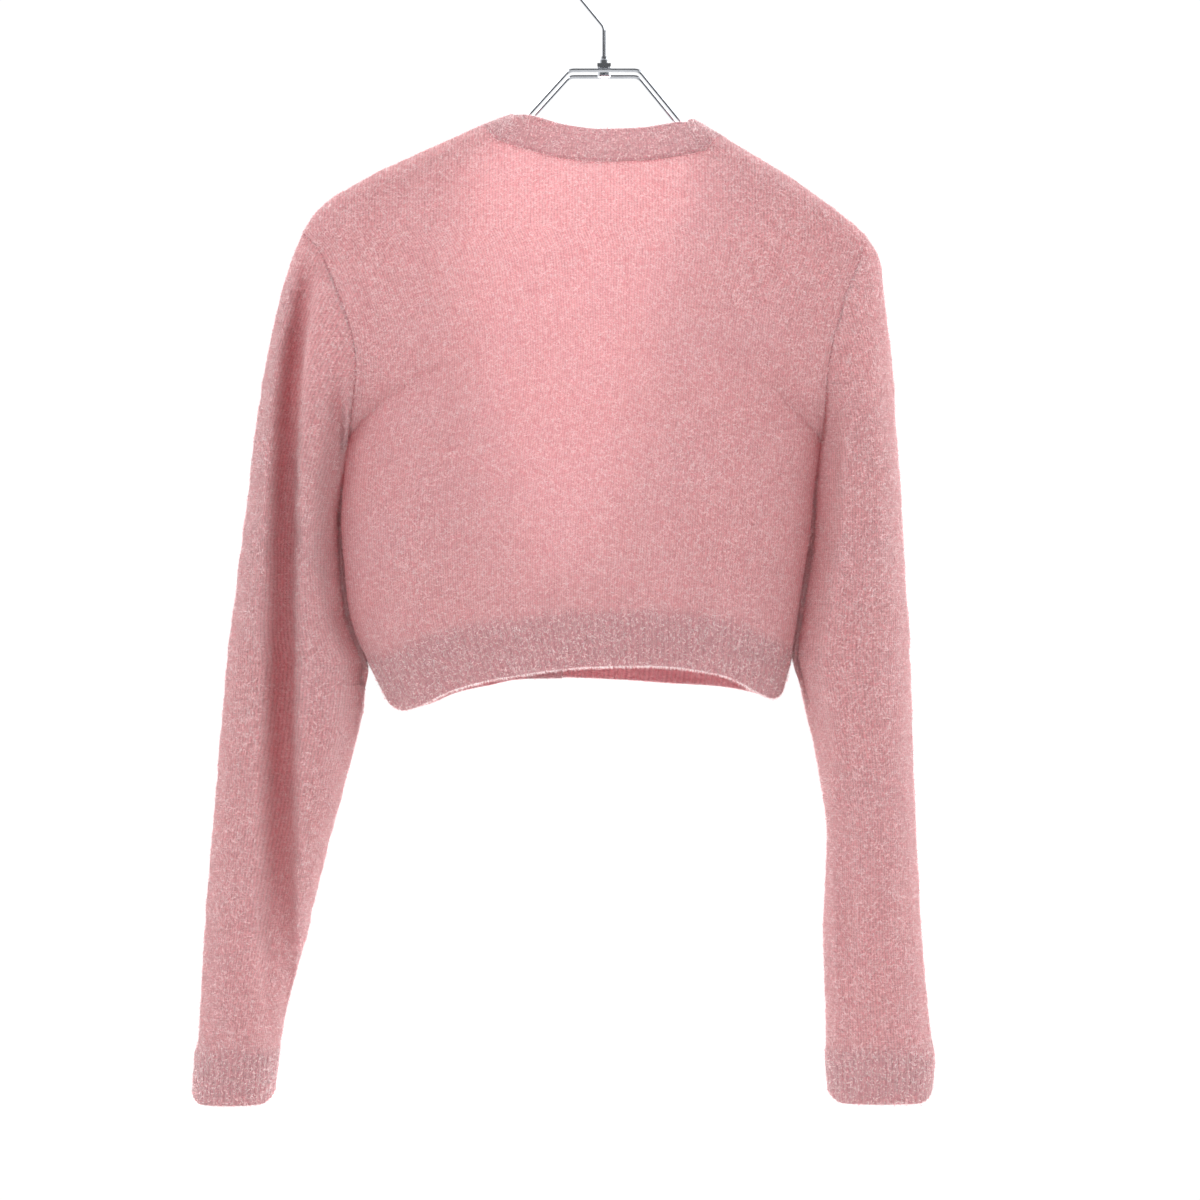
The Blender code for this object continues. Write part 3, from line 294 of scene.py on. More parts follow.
# Camera, at the photograph's angle
CAMERA_PLACE = (0.0029, 2.600, -0.4687)
VIEW_WIDTH = 0.864        # at the cardigan's middle plane
SENSOR = 36.0
FLOOR_Z = -1.3
FLOOR_RADIUS = 2.2

# Light: strength of the white all round, on the camera's side and on the far side
WORLD_NEAR = 0.32
WORLD_FAR = 2.5
WORLD_TURN = (0.55, -0.35)              # Y of the directions between which it rises
WORLD_SEEN = 1.05                       # its strength in the picture
Lamp = namedtuple("Lamp", "name place target size power")
LAMPS = (
    Lamp("soft_key", (1.5, 1.75, 1.4), (0.0, 0.0, -0.45), 1.7, 46.0),
    Lamp("soft_fill", (-1.6, 1.75, 1.2), (0.0, 0.0, -0.45), 1.7, 34.0),
    Lamp("backdrop_glow", (-0.25, -2.2, -0.35), (0.0, 0.0, -0.35), 1.0, 27.0),
    Lamp("side_glow", (-1.7, -0.7, 0.2), (-0.15, 0.0, -0.45), 0.8, 17.0),
)


def curve(table, key, value):
    """A smooth function through a table's column, without overshoot."""
    pairs = sorted((getattr(row, key), getattr(row, value)) for row in table)
    xs, ys = np.array(pairs).T
    spans = np.diff(xs)
    steps = np.diff(ys) / spans
    product = steps[:-1] * steps[1:]
    total = np.where(product > 0, steps[:-1] + steps[1:], 1.0)
    inner = np.where(product > 0, 2 * product / total, 0.0)
    slopes = np.concatenate(([steps[0]], inner, [steps[-1]]))

    def at(x):
        x = np.clip(x, xs[0], xs[-1])
        i = np.clip(np.searchsorted(xs, x, side="right") - 1, 0, len(spans) - 1)
        span = spans[i]
        t = (x - xs[i]) / span
        return ((1 + 2 * t) * (1 - t) ** 2 * ys[i] + t * (1 - t) ** 2 * span * slopes[i]
                + t * t * (3 - 2 * t) * ys[i + 1] - t * t * (1 - t) * span * slopes[i + 1])

    return at


ridge_at = curve(RIDGE, "x", "z")
body_left = curve(BODY_LEFT, "z", "x")
body_right = curve(BODY_RIGHT, "z", "x")
back_depth = curve(BODY_DEPTH, "z", "back")
front_depth = curve(BODY_DEPTH, "z", "front")
back_hem = curve(BACK_HEM, "across", "z")
front_hem = curve(FRONT_HEM, "across", "z")
back_neck = curve(BACK_NECK, "x", "z")
loop_half = curve(ARMHOLE, "turn", "half")


def ease(t):
    """Smooth step from 0 to 1."""
    t = np.clip(t, 0.0, 1.0)
    return t * t * (3 - 2 * t)


def mix(a, b, t):
    return a + (b - a) * t


def unit(vectors):
    return vectors / np.maximum(np.linalg.norm(vectors, axis=-1, keepdims=True), 1e-9)


# ---------------------------------------------------------------- armholes

Side = namedtuple("Side", "sign edges tube folds")
LEFT = Side(1, body_left, SLEEVE_LEFT, (LEFT_TROUGH, LEFT_TUCK))
RIGHT = Side(-1, body_right, SLEEVE_RIGHT, (RIGHT_CREASE, RIGHT_TUCK))


def armhole_half(angle):
    """Half depth of the armhole loop; angle 0 is the shoulder, pi the underarm."""
    return loop_half(np.degrees(angle))


def armhole_angle(side, drop):
    """The loop's angle at a height that is this far below the shoulder tip."""
    reach = side.tube[0].z - UNDERARM_Z
    return np.arccos(np.clip(1 - 2 * drop / reach, -1.0, 1.0))


def armhole_height(side, angle):
    return mix(side.tube[0].z, UNDERARM_Z, (1 - np.cos(angle)) / 2)


def armhole(side, angle, face):
    """Points of the armhole seam, and the cloth's outward directions there."""
    z = armhole_height(side, angle)
    points = np.stack([side.edges(z), face * armhole_half(angle), z], axis=-1)
    upper = angle < math.pi / 2
    low_share = np.clip(2 * angle / math.pi - 1, 0.0, 1.0)
    turn = np.where(upper, np.minimum(1.6 * angle, math.pi / 2),
                    math.pi / 2 * (1 - low_share ** 1.7))
    outward = np.where(upper, side.sign * math.cos(TIP_LEAN) * np.cos(turn) ** 2, 0.0)
    up = np.where(upper, math.sin(TIP_LEAN) * np.cos(turn), -np.cos(turn))
    return points, unit(np.stack([outward, face * np.sin(turn), up], axis=-1))


# ---------------------------------------------------------------- body surface

def middle_and_half(z):
    left, right = body_left(z), body_right(z)
    return (left + right) / 2, (left - right) / 2


TOP_MIDDLE, TOP_HALF = middle_and_half(0.0)


def across_at(x, z):
    middle, half = middle_and_half(z)
    return (x - middle) / half


def ridge_over(across):
    """Height of the ridge above a column of the body."""
    return ridge_at(TOP_MIDDLE + across * TOP_HALF)


def ridge_half(length):
    """Distance from the ridge line's plane after this length of cloth."""
    turn = np.clip((length - RIDGE_FLAT) / RIDGE_RADIUS, 0.0, math.pi / 2)
    return np.minimum(length, RIDGE_FLAT) + RIDGE_RADIUS * np.sin(turn)


def drop_after(length):
    """How far below the ridge the cloth is after this length from the ridge line."""
    turn = np.clip((length - RIDGE_FLAT) / RIDGE_RADIUS, 0.0, math.pi / 2)
    return RIDGE_RADIUS * (1 - np.cos(turn)) + np.maximum(length - RIDGE_ARC, 0.0)


def length_to(drop):
    """The length of cloth from the ridge line to this far below the ridge."""
    turn = np.arccos(1 - np.clip(drop, 0.0, RIDGE_RADIUS) / RIDGE_RADIUS)
    return RIDGE_FLAT + RIDGE_RADIUS * turn + np.maximum(drop - RIDGE_RADIUS, 0.0)


def hollow_depth(x, z, face):
    dip = np.zeros_like(x)
    for row in HOLLOWS:
        down = (row.z_top - z) / (row.z_top - row.z_low)
        aside = (x - mix(row.x_top, row.x_low, down)) / row.width
        dip += np.where(face == row.face, row.depth * ease(down) * np.exp(-aside * aside), 0.0)
    return dip


def body_points(across, length, under=False):
    """Points of the body's outer surface.

    across runs from -1 to 1 between the side seams; length is the length of cloth
    from the ridge line, positive down the back and negative down the fronts.
    """
    face = np.where(length < 0, -1, 1)
    drop = drop_after(np.abs(length))
    z = ridge_over(across) - drop
    middle, half = middle_and_half(z)
    x = middle + across * half
    angle = np.where(across > 0, armhole_angle(LEFT, drop), armhole_angle(RIGHT, drop))
    edge = armhole_half(angle)
    full = np.where(face > 0, back_depth(z), front_depth(z)) - hollow_depth(x, z, face)
    deep = ridge_half(np.abs(length)) + (full - RIDGE_HALF) * ease(drop / SHOULDER_FALL)
    lap = LAP * ease((LAP_START[0] - x) / LAP_RUN_IN[0]) * ease((LAP_START[1] - z) / LAP_RUN_IN[1])
    deep = deep - np.where(under, lap, 0.0)
    profile = np.maximum(1 - np.abs(across) ** BODY_POWER, 0.0) ** (1 / BODY_POWER)
    return np.stack([x, face * mix(edge, deep, profile), z], axis=-1)


def tangents(across, length, under):
    da, dl = 0.002, 0.2
    sideways = body_points(across + da, length, under) - body_points(across - da, length, under)
    lengthways = body_points(across, length + dl, under) - body_points(across, length - dl, under)
    return sideways / (2 * da), lengthways / (2 * dl)


def surface_normals(across, length, under):
    sideways, lengthways = tangents(across, length, under)
    return unit(np.cross(sideways, lengthways))


# ---------------------------------------------------------------- relief

def smooth_noise(points, size, seed):
    """Soft unevenness, from -1 to 1: a few waves of random directions added up."""
    rng = np.random.default_rng(seed)
    total = np.zeros(points.shape[:-1])
    for _ in range(LUMP_WAVES):
        direction = unit(rng.normal(size=3))
        wave = TAU / (size * rng.uniform(0.7, 2.2))
        total += np.sin(points @ (direction * wave) + rng.uniform(0, TAU))
    return total / 5


def crease_depth(points, creases):
    """Depth of the hand-placed soft creases at each point of one face."""
    x, z = points[..., 0], points[..., 2]
    depth = np.zeros_like(x)
    for row in creases:
        down = (row.z_top - z) / (row.z_top - row.z_low)
        aside = (x - mix(row.x_top, row.x_low, down)) / row.width
        fade = ease(down * 3) * ease((CREASE_LENGTH - down) * 2.5)
        depth += row.depth * fade * np.exp(-aside * aside)
    return depth


# ---------------------------------------------------------------- walls

# Rows by columns.  uv holds the column and row in millimetres, the height on a rib
# from 0 to 1, and 1 in the ribbed parts or 0 elsewhere.
Grid = namedtuple("Grid", "points normals uv")


def grid_normals(points, closed, outward):
    """Directions out of a grid; outward is where its middle column looks."""
    down = np.gradient(points, axis=0)
    if closed:
        along = np.roll(points, -1, axis=1) - np.roll(points, 1, axis=1)
    else:
        along = np.gradient(points, axis=1)
    normals = unit(np.cross(down, along))
    middle = normals[len(normals) // 2, 0 if closed else points.shape[1] // 2]
    return normals if middle @ outward > 0 else -normals


def runs_along(points, axis):
    """How far along a row or column each of its points is."""
    steps = np.linalg.norm(np.diff(points, axis=axis), axis=-1)
    start = np.zeros_like(np.take(steps, [0], axis=axis))
    return np.concatenate([start, np.cumsum(steps, axis=axis)], axis=axis)


def along_run(values, run, places):
    """What a line's values are at these distances along it; run is where they are."""
    return np.stack([np.interp(places, run, column) for column in values.T], axis=-1)


def respaced(grid, count, closed):
    """The same rows with evenly spaced points."""
    spaced = []
    for points, normals, uv in zip(*grid):
        if closed:
            points, normals, uv = (np.vstack([part, part[:1]]) for part in (points, normals, uv))
            uv[-1, 0] += uv[1, 0] + uv[-2, 0]
        run = runs_along(points, 0)
        places = np.linspace(0.0, run[-1], count + 1)[:count if closed else count + 1]
        points, normals, uv = (along_run(part, run, places) for part in (points, normals, uv))
        spaced.append((points, unit(normals), uv))
    return Grid(*(np.array(part) for part in zip(*spaced)))


def with_ribs(grid, closed):
    """The ribbed zone: evenly spaced points, raised into soft ribs that fade in."""
    last_run = runs_along(grid.points[-1], 0)[-1]
    ribs = round(last_run / RIB_PITCH)
    grid = respaced(grid, ribs * RIB_POINTS, closed)
    down = runs_along(grid.points, 0)
    crest = (1 - np.cos(TAU * np.arange(grid.points.shape[1]) / RIB_POINTS)) / 2
    run_in = ease(down / RIB_RUN_IN)
    raised = RIB_RELIEF * crest * run_in
    grid.uv[..., 2] = mix(PLAIN_CLOTH, crest, run_in)
    grid.uv[..., 3] = run_in
    return Grid(grid.points + grid.normals * raised[..., None], grid.normals, grid.uv)


def edge_distance(grids, i, closed):
    """How far the points of one of a wall's grids are from the wall's nearest edge."""
    points = grids[i].points
    far = np.full(points.shape[:2], 1e3)
    if i == 0:
        far = np.minimum(far, runs_along(points, 0))
    if i == len(grids) - 1:
        far = np.minimum(far, runs_along(points[::-1], 0)[::-1])
    if not closed:
        far = np.minimum(far, runs_along(points, 1))
        far = np.minimum(far, runs_along(points[:, ::-1], 1)[:, ::-1])
    return far


def quads(numbers, closed):
    """Faces of one grid of vertex numbers."""
    if closed:
        numbers = np.hstack([numbers, numbers[:, :1]])
    return np.stack([numbers[:-1, :-1], numbers[:-1, 1:], numbers[1:, 1:], numbers[1:, :-1]],
                    axis=-1).reshape(-1, 4)


def strip(upper, lower, places, closed):
    """Triangles between two rows of vertex numbers with different counts."""
    if closed:
        upper, lower = np.append(upper, upper[0]), np.append(lower, lower[0])
    upper_run = runs_along(places[upper], 0)
    lower_run = runs_along(places[lower], 0)
    upper_run /= upper_run[-1]
    lower_run /= lower_run[-1]
    faces = []
    i, j = 0, 0
    while i < len(upper) - 1 or j < len(lower) - 1:
        if j == len(lower) - 1 or (i < len(upper) - 1 and upper_run[i + 1] <= lower_run[j + 1]):
            faces.append((upper[i], upper[i + 1], lower[j]))
            i += 1
        else:
            faces.append((upper[i], lower[j + 1], lower[j]))
            j += 1
    return np.array(faces)


def skin_faces(numbers, places, closed):
    faces = [face for grid in numbers for face in quads(grid, closed).tolist()]
    for upper, lower in zip(numbers, numbers[1:]):
        faces += strip(upper[-1], lower[0], places, closed).tolist()
    return faces


def new_object(name, data):
    thing = bpy.data.objects.new(name, data)
    bpy.context.scene.collection.objects.link(thing)
    return thing


def vertex_places(mesh):
    places = np.zeros(len(mesh.vertices) * 3)
    mesh.vertices.foreach_get("co", places)
    return places.reshape(-1, 3)


def triangle_corners(mesh):
    """The vertex numbers of a mesh's triangles."""
    mesh.calc_loop_triangles()
    corners = np.zeros(len(mesh.loop_triangles) * 3, np.int32)
    mesh.loop_triangles.foreach_get("vertices", corners)
    return corners.reshape(-1, 3)


def signed_volume(mesh):
    """Above 0 where the faces look outwards."""
    places = vertex_places(mesh)
    a, b, c = (places[corner] for corner in triangle_corners(mesh).T)
    return float((a * np.cross(b, c)).sum()) / 6


def wall_skins(grids, thickness, proud, closed):
    """The places of a wall's outer and inner skin, and the numbers of their points.

    The two skins meet in a rounded edge, and share the points there.
    """
    radius = thickness / 2
    outer, inner, outer_numbers, inner_numbers = [], [], [], []
    total = sum(grid.points[..., 0].size for grid in grids)
    start = 0
    for i, grid in enumerate(grids):
        far = edge_distance(grids, i, closed)
        near = np.clip(radius - far, 0.0, radius)
        sunk = (radius - np.sqrt(radius * radius - near * near))[..., None]
        outer.append((grid.points + grid.normals * (proud - sunk)).reshape(-1, 3))
        inner.append((grid.points + grid.normals * (proud - thickness + sunk)).reshape(-1, 3))
        numbers = start + np.arange(far.size).reshape(far.shape)
        start += far.size
        outer_numbers.append(numbers)
        inner_numbers.append(np.where(far == 0, numbers, numbers + total))
    return np.vstack(outer + inner), outer_numbers, inner_numbers


RIMS = {}                 # by wall: its last row, the directions down and out of it there


def make_wall(name, grids, thickness, proud, closed, wrap):
    """A closed wall whose two skins meet in a rounded edge all round.

    The grids' points are the outer skin; proud lifts it above them.  wrap is the
    width after which a tube's texture columns start again, or 0.
    """
    rim, above = grids[-1].points[-1], grids[-1].points[-3]
    RIMS[name] = (rim, unit(rim - above), grids[-1].normals[-1])
    places, outer_numbers, inner_numbers = wall_skins(grids, thickness, proud, closed)
    faces = skin_faces(outer_numbers, places, closed)
    outer_count = len(faces)
    faces += [face[::-1] for face in skin_faces(inner_numbers, places, closed)]
    used, corners = np.unique(np.concatenate(faces), return_inverse=True)
    ends = np.cumsum([len(face) for face in faces])
    faces = [part.tolist() for part in np.split(corners, ends[:-1])]
    mesh = bpy.data.meshes.new(name)
    mesh.from_pydata((places[used] * MM).tolist(), [], faces)
    uv = np.vstack([grid.uv.reshape(-1, 4) for grid in grids] * 2)
    set_uv(mesh, uv[used], wrap)
    mesh.shade_smooth()
    piece = new_object(name, mesh)
    piece["outer_faces"] = outer_count
    if signed_volume(mesh) < 0:
        mesh.flip_normals()
    return piece


def set_uv(mesh, uv, wrap):
    """Texture places in millimetres of cloth, kept whole across a tube's closing line."""
    corners = np.zeros(len(mesh.loops), np.int32)
    mesh.loops.foreach_get("vertex_index", corners)
    values = uv[corners]
    starts = np.zeros(len(mesh.polygons), np.int32)
    mesh.polygons.foreach_get("loop_start", starts)
    if wrap:
        highest = np.maximum.reduceat(values[:, 0], starts)
        sizes = np.diff(np.append(starts, len(corners)))
        high = np.repeat(highest, sizes)
        values[:, 0] += np.where(high - values[:, 0] > wrap / 2, wrap, 0.0)
    for name, part in (("cloth", values[:, :2]), ("ribs", values[:, 2:])):
        layer = mesh.uv_layers.new(name=name)
        layer.uv.foreach_set("vector", part.ravel())


# ---------------------------------------------------------------- panels

def edged(values, steps, end):
    """Adds extra values close to the start, and to the end if asked."""
    values = list(values)
    sign = 1 if values[-1] > values[0] else -1
    extra = [values[0] + sign * step for step in steps]
    rest = [value for value in values[1:] if sign * (value - extra[-1]) > steps[0]]
    values = [values[0]] + extra + rest
    return edged(values[::-1], steps, False)[::-1] if end else values


def own_lengths(top, low, share):
    """Lengths from the ridge of a column's rows, close together near the ridge."""
    steps = [top + step for step in EDGE_STEPS]
    bend = [max(top, RIDGE_RADIUS * row) for row in BEND_ROWS]
    start = max(bend[-1], steps[-1])
    end = mix(top, low, share)
    count = ARMHOLE_ROWS - len(BEND_ROWS)
    lengths = [mix(start, end, ((i + 1) / count) ** 1.2) for i in range(count)]
    lengths += [mix(end, low, (i + 1) / SIDE_ROWS) for i in range(SIDE_ROWS)]
    bend = [mix(steps[-1], start, (i + 1) / len(bend)) for i in range(len(bend))]
    return np.array([top] + steps + bend + lengths)


def side_shares(side, rib_z, count):
    """Drops of the rows at the side, as shares of the way down to the ribs."""
    seam = armhole_height(side, np.linspace(0.0, math.pi, SEAM_ROWS))
    low = np.linspace(UNDERARM_Z, rib_z, count - SEAM_ROWS + 1)[1:]
    heights = np.concatenate([seam, low])
    return (heights[0] - heights) / (heights[0] - rib_z)


def back_columns():
    """Across positions of the back's columns, with one at each end of the neck."""
    right = (BACK_NECK[0].x - TOP_MIDDLE) / TOP_HALF
    left = (BACK_NECK[-1].x - TOP_MIDDLE) / TOP_HALF
    turns = np.sin(math.pi / 2 * np.arange(SHOULDER_COLUMNS + 1) / SHOULDER_COLUMNS)
    even = np.arange(1, NECK_COLUMNS) / NECK_COLUMNS
    neck = mix(right, left, mix(even, (1 - np.cos(math.pi * even)) / 2, 0.4))
    fine = 1 - np.array(BACK_STEPS)
    near_right = mix(right, -1.0, fine)
    near_left = mix(left, 1.0, fine)
    columns = np.concatenate([[-1.0], near_right, mix(right, -1.0, turns[1:-1][::-1]), [right],
                              neck, [left], mix(left, 1.0, turns[1:-1]), near_left[::-1], [1.0]])
    return columns, np.arange(len(columns))[(columns > right) & (columns < left)]


def panel_part(across, lengths, under, face, sides, seam_rows):
    """Points, outward directions and lengths of the upper or the ribbed part of a panel.

    sides names the columns at the body's sides.  Their first seam_rows rows lie along
    the armhole, and the others along the side seam.
    """
    points = body_points(across, lengths, under)
    normals = grid_normals(points, False, np.array((0, face, 0)))
    for j, side in sides:
        angles = armhole_angle(side, side.tube[0].z - points[:seam_rows, j, 2])
        points[:seam_rows, j], normals[:seam_rows, j] = armhole(side, angles, face)
        points[seam_rows:, j, 1] = 0.0
        normals[seam_rows:, j] = (side.sign, 0.0, 0.0)
    return points, normals, lengths


def corner_lift(across, turn, radius):
    """How far an edge is drawn up round its corner, which runs from turn to 1 across."""
    t = np.clip((np.abs(across) - turn) / (1 - turn), 0.0, 0.99)
    return radius * (1 - np.sqrt(1 - t * t))


def cloth_uv(columns_mm, lengths):
    return np.stack(np.broadcast_arrays(columns_mm, lengths, PLAIN_CLOTH, 0.0), axis=-1)


def neck_drop(across):
    """Length of cloth from the ridge to the neck's seam on the back."""
    x = TOP_MIDDLE + across * TOP_HALF
    inwards = min(x - BACK_NECK[0].x, BACK_NECK[-1].x - x)
    return min(length_to(ridge_over(across) - back_neck(x)), NECK_TURN * inwards)


def back_column(across, top):
    """Lengths of a back column's rows: those from its top to the ribs, and those below."""
    ridge = ridge_over(across)
    rib_z = back_hem(across) + RIB_DEPTH
    hem_z = back_hem(across) + corner_lift(across, HEM_TURN, HEM_ROUND)
    own = own_lengths(top, length_to(ridge - rib_z), BACK_ARMHOLE_SHARE)
    side = LEFT if across > 0 else RIGHT
    shares = side_shares(side, back_hem(side.sign) + RIB_DEPTH, len(own))
    lengths = mix(own, length_to(shares * (ridge - rib_z)), abs(across) ** 5)
    lengths[0] = own[0]
    return lengths, length_to(ridge - np.linspace(rib_z, hem_z, RIB_ROWS + 1)[1:])


def build_back():
    """The back panel; gives the places along its neck seam."""
    columns, neck = back_columns()
    tops = np.zeros(len(columns))
    tops[neck] = [neck_drop(across) for across in columns[neck]]
    upper, lower = (np.array(part).T for part in
                    zip(*(back_column(across, top) for across, top in zip(columns, tops))))
    sides = ((0, RIGHT), (-1, LEFT))
    parts = [panel_part(np.broadcast_to(columns, lengths.shape), lengths, False, 1, sides, count)
             for lengths, count in ((upper, SEAM_ROWS), (hem_rows(lower), 0))]
    grids = panel_grids(parts, columns * TOP_HALF, BACK_CREASES)
    places = [(columns[j], tops[j]) for j in neck]
    return make_wall("cloth_back", grids, CLOTH, 0.0, False, 0.0), places


def hem_rows(lower):
    """The rows of the ribbed zone with extra ones close to the hem."""
    extra = [lower[-1] - step * np.sign(lower[-1]) for step in EDGE_STEPS[::-1]]
    return np.vstack([lower[:-1], extra, lower[-1:]])


def panel_grids(parts, columns_mm, creases):
    """A panel's plain and ribbed grids, with creases and small lumps."""
    grids = []
    for points, normals, lengths in parts:
        depth = crease_depth(points, creases) + LUMP * smooth_noise(points, LUMP_SIZE, 5)
        edge = np.minimum(runs_along(points, 1), runs_along(points[:, ::-1], 1)[:, ::-1])
        depth *= ease(edge / PANEL_CALM)
        uv = cloth_uv(columns_mm, np.abs(lengths))
        grids.append(Grid(points - normals * depth[..., None], normals, uv))
    plain, ribbed = grids
    smooth = parts[0][0]
    faded = ease(runs_along(smooth, 0) / PANEL_CALM)[..., None]
    plain = Grid(mix(smooth, plain.points, faded), plain.normals, plain.uv)
    return [plain, with_ribs(ribbed, False)]


def settle(across_of, height_of):
    """The heights where a slanting column meets height_of(across)."""
    z = height_of(across_of(np.float64(RIDGE[0].z)))
    for _ in range(ROUNDS):
        z = height_of(across_of(z))
    return z


def front_hem_edge(across):
    return front_hem(across) + corner_lift(across, HEM_TURN, HEM_ROUND)


def front_turns():
    """A front's columns, as shares of the way from its side to the band's seam."""
    even = np.linspace(0.0, 1.0, FRONT_COLUMNS + 1)
    even = np.array(edged(even, FRONT_STEPS + (FRONT_SIDE_STEP,), False))
    turn = mix(1 - np.cos(math.pi / 2 * even), even, 0.12)
    turn = np.append(turn[:-1], [1 - step for step in FRONT_STEPS[::-1]] + [1.0])
    return np.unique(np.round(turn, 7))


def front_column(side, seam_x, t):
    """A front column's places, across and along the cloth: above the ribs, and in them."""

    def across_of(z):
        return mix(side.sign, across_at(seam_x(z), z), t)

    hem_z = settle(across_of, front_hem_edge)
    rib_z = settle(across_of, lambda across: front_hem(across) + RIB_DEPTH)
    ridge = ridge_over(across_of(rib_z))
    own = own_lengths(0.0, length_to(ridge - rib_z), FRONT_ARMHOLE_SHARE)
    shares = side_shares(side, front_hem(side.sign) + RIB_DEPTH, len(own))
    lengths = mix(own, length_to(shares * (ridge - rib_z)), (1 - t) ** 4)
    lengths[0] = own[0]
    z = ridge - drop_after(lengths)
    for _ in range(ROUNDS):
        z = ridge_over(across_of(z)) - drop_after(lengths)
    low_z = np.linspace(rib_z, hem_z, RIB_ROWS + 1)[1:]
    low_across = across_of(low_z)
    return across_of(z), -lengths, low_across, -length_to(ridge_over(low_across) - low_z)


def build_front(name, side, seam, creases):
    """One front, from its side to the seam of the band; gives the places along it."""
    seam_x = curve(seam, "z", "x")
    columns = [front_column(side, seam_x, t) for t in front_turns()]
    across, lengths, low_across, low_lengths = (np.array(part).T for part in zip(*columns))
    low_lengths = hem_rows(low_lengths)
    low_across = np.vstack([low_across[:-1], np.repeat(low_across[-1:], len(EDGE_STEPS) + 1, 0)])
    parts = [panel_part(*places, side is LEFT, -1, ((0, side),), count) for *places, count in
             ((across, lengths, SEAM_ROWS), (low_across, low_lengths, 0))]
    middle_row = parts[0][0][len(lengths) // 2]
    grids = panel_grids(parts, runs_along(middle_row, 0), creases)
    places = [*zip(across[:, -1], lengths[:, -1]), *zip(low_across[:, -1], low_lengths[:, -1])]
    return make_wall(name, grids, CLOTH, 0.0, False, 0.0), places


# ---------------------------------------------------------------- neckband

def slide(across, length, under, along, distance):
    """Moves over the cloth by a distance, at a right angle to the seam."""
    sideways, lengthways = tangents(across, length, under)
    toward = np.cross(along, unit(np.cross(sideways, lengthways)))

    def dot(a, b):
        return (a * b).sum(-1)

    ss, sl, ll = dot(sideways, sideways), dot(sideways, lengthways), dot(lengthways, lengthways)
    to_side, to_low = dot(sideways, toward), dot(lengthways, toward)
    scale = distance / (ss * ll - sl * sl)
    return (across + (to_side * ll - to_low * sl) * scale,
            length + (to_low * ss - to_side * sl) * scale)


def along_seam(points, reach):
    """The seam's direction, taken over this much to each side."""
    run = runs_along(points, 0)

    return unit(along_run(points, run, run + reach) - along_run(points, run, run - reach))


def band_rows(across, length, under, along, steps):
    """Points and outward directions of the band's rows, at these distances from its edge."""
    points, normals = [], []
    before = 0.0
    for step in steps:
        parts = (3 if step - before > 1 else 1) if step > before else 0
        for _ in range(parts):
            across, length = slide(across, length, under, along, (step - before) / parts)
        before = step
        points.append(body_points(across, length, under))
        normals.append(surface_normals(across, length, under))
    return np.array(points), np.array(normals)


def neck_stitches(across, length, under, along):
    """Lines for the stitches of the band's seam: points and outward directions."""
    lines = []
    for distance, proud in NECK_STITCHES:
        there = slide(across, length, under, along, distance)
        outward = surface_normals(*there, under)
        lines.append((body_points(*there, under) + outward * proud, outward))
    return lines


def build_neckband(right_places, neck_places, left_places):
    """The band, from its seam to its free edge, and the lines of the stitches there."""
    places = np.array(right_places[::-1] + neck_places + left_places)
    under = np.arange(len(places)) >= len(places) - len(left_places)
    seam = body_points(*places.T, under)
    keep = np.append(True, np.linalg.norm(np.diff(seam, axis=0), axis=-1) > BAND_MIN_STEP)
    places, under, seam = places[keep].T, under[keep], seam[keep]
    along = along_seam(seam, BAND_TURN)
    width = BAND_WIDTH + BAND_TUCK
    steps = edged(np.linspace(0.0, width, BAND_STEPS + 1), EDGE_STEPS, True)
    edge = slide(*places, under, along, -BAND_TUCK)
    points, normals = band_rows(*edge, under, along, steps)
    steps = np.array(steps)
    lumps = BAND_LUMP * smooth_noise(points, LUMP_SIZE, 8)
    lumps *= ease(np.minimum(steps, width - steps) / BAND_CALM)[:, None]
    uv = cloth_uv(runs_along(seam, 0)[None, :], steps[:, None])
    grid = Grid(points - normals * lumps[..., None], normals, uv)
    band = make_wall("cloth_band", [grid], BAND_CLOTH, BAND_PROUD, False, 0.0)
    return band, neck_stitches(*places, under, along)


# ---------------------------------------------------------------- sleeves

HALF_TURN = np.linspace(0.0, math.pi, SLEEVE_SPOKES + 1)
SPOKES = np.concatenate([HALF_TURN, HALF_TURN[-2:0:-1]])    # angles from the outer edge
SPOKE_FACES = np.concatenate([np.ones(SLEEVE_SPOKES + 1), -np.ones(SLEEVE_SPOKES - 1)])
SLEEVE_WRAP = round(SLEEVE_SPOKES * 2 * SPOKE_PITCH / WALE) * WALE


def inner_edge(side, z):
    """The sleeve's inner edge, laid against the body's side under the arm."""
    beside = np.where(z < UNDERARM_Z, ease((z - FREE_Z) / FREE_RUN_IN), 0.0)
    return mix(curve(side.tube, "z", "inner")(z), side.edges(z) + side.sign * SEAM_GAP, beside)


def sleeve_section(side, z):
    """Points of the sleeve's own sections at these heights, by spoke."""
    inner = inner_edge(side, z)
    outer, depth, middle = (curve(side.tube, "z", part)(z) for part in ("outer", "depth", "y"))
    aside, out = np.cos(SPOKES), np.sin(SPOKES)
    power = 2 / SLEEVE_POWER
    half = (outer - inner) / 2
    x = (outer + inner) / 2 + half * np.sign(aside) * np.abs(aside) ** power
    return np.stack([x, middle + SPOKE_FACES * depth * out ** power, z], axis=-1)


def press_folds(points, side):
    """Draws in the sleeve's back along its long folds."""
    x, z = points[..., 0], points[..., 2]
    for fold in side.folds:
        middle, depth, width = (curve(fold, "z", part)(z) for part in ("x", "depth", "width"))
        aside = (x - middle) / width
        deep = depth * np.exp(-aside ** 4) * ease(np.sin(SPOKES) * FOLD_ROUND)
        points[..., 1] -= np.where(SPOKE_FACES > 0, deep, 0.0)


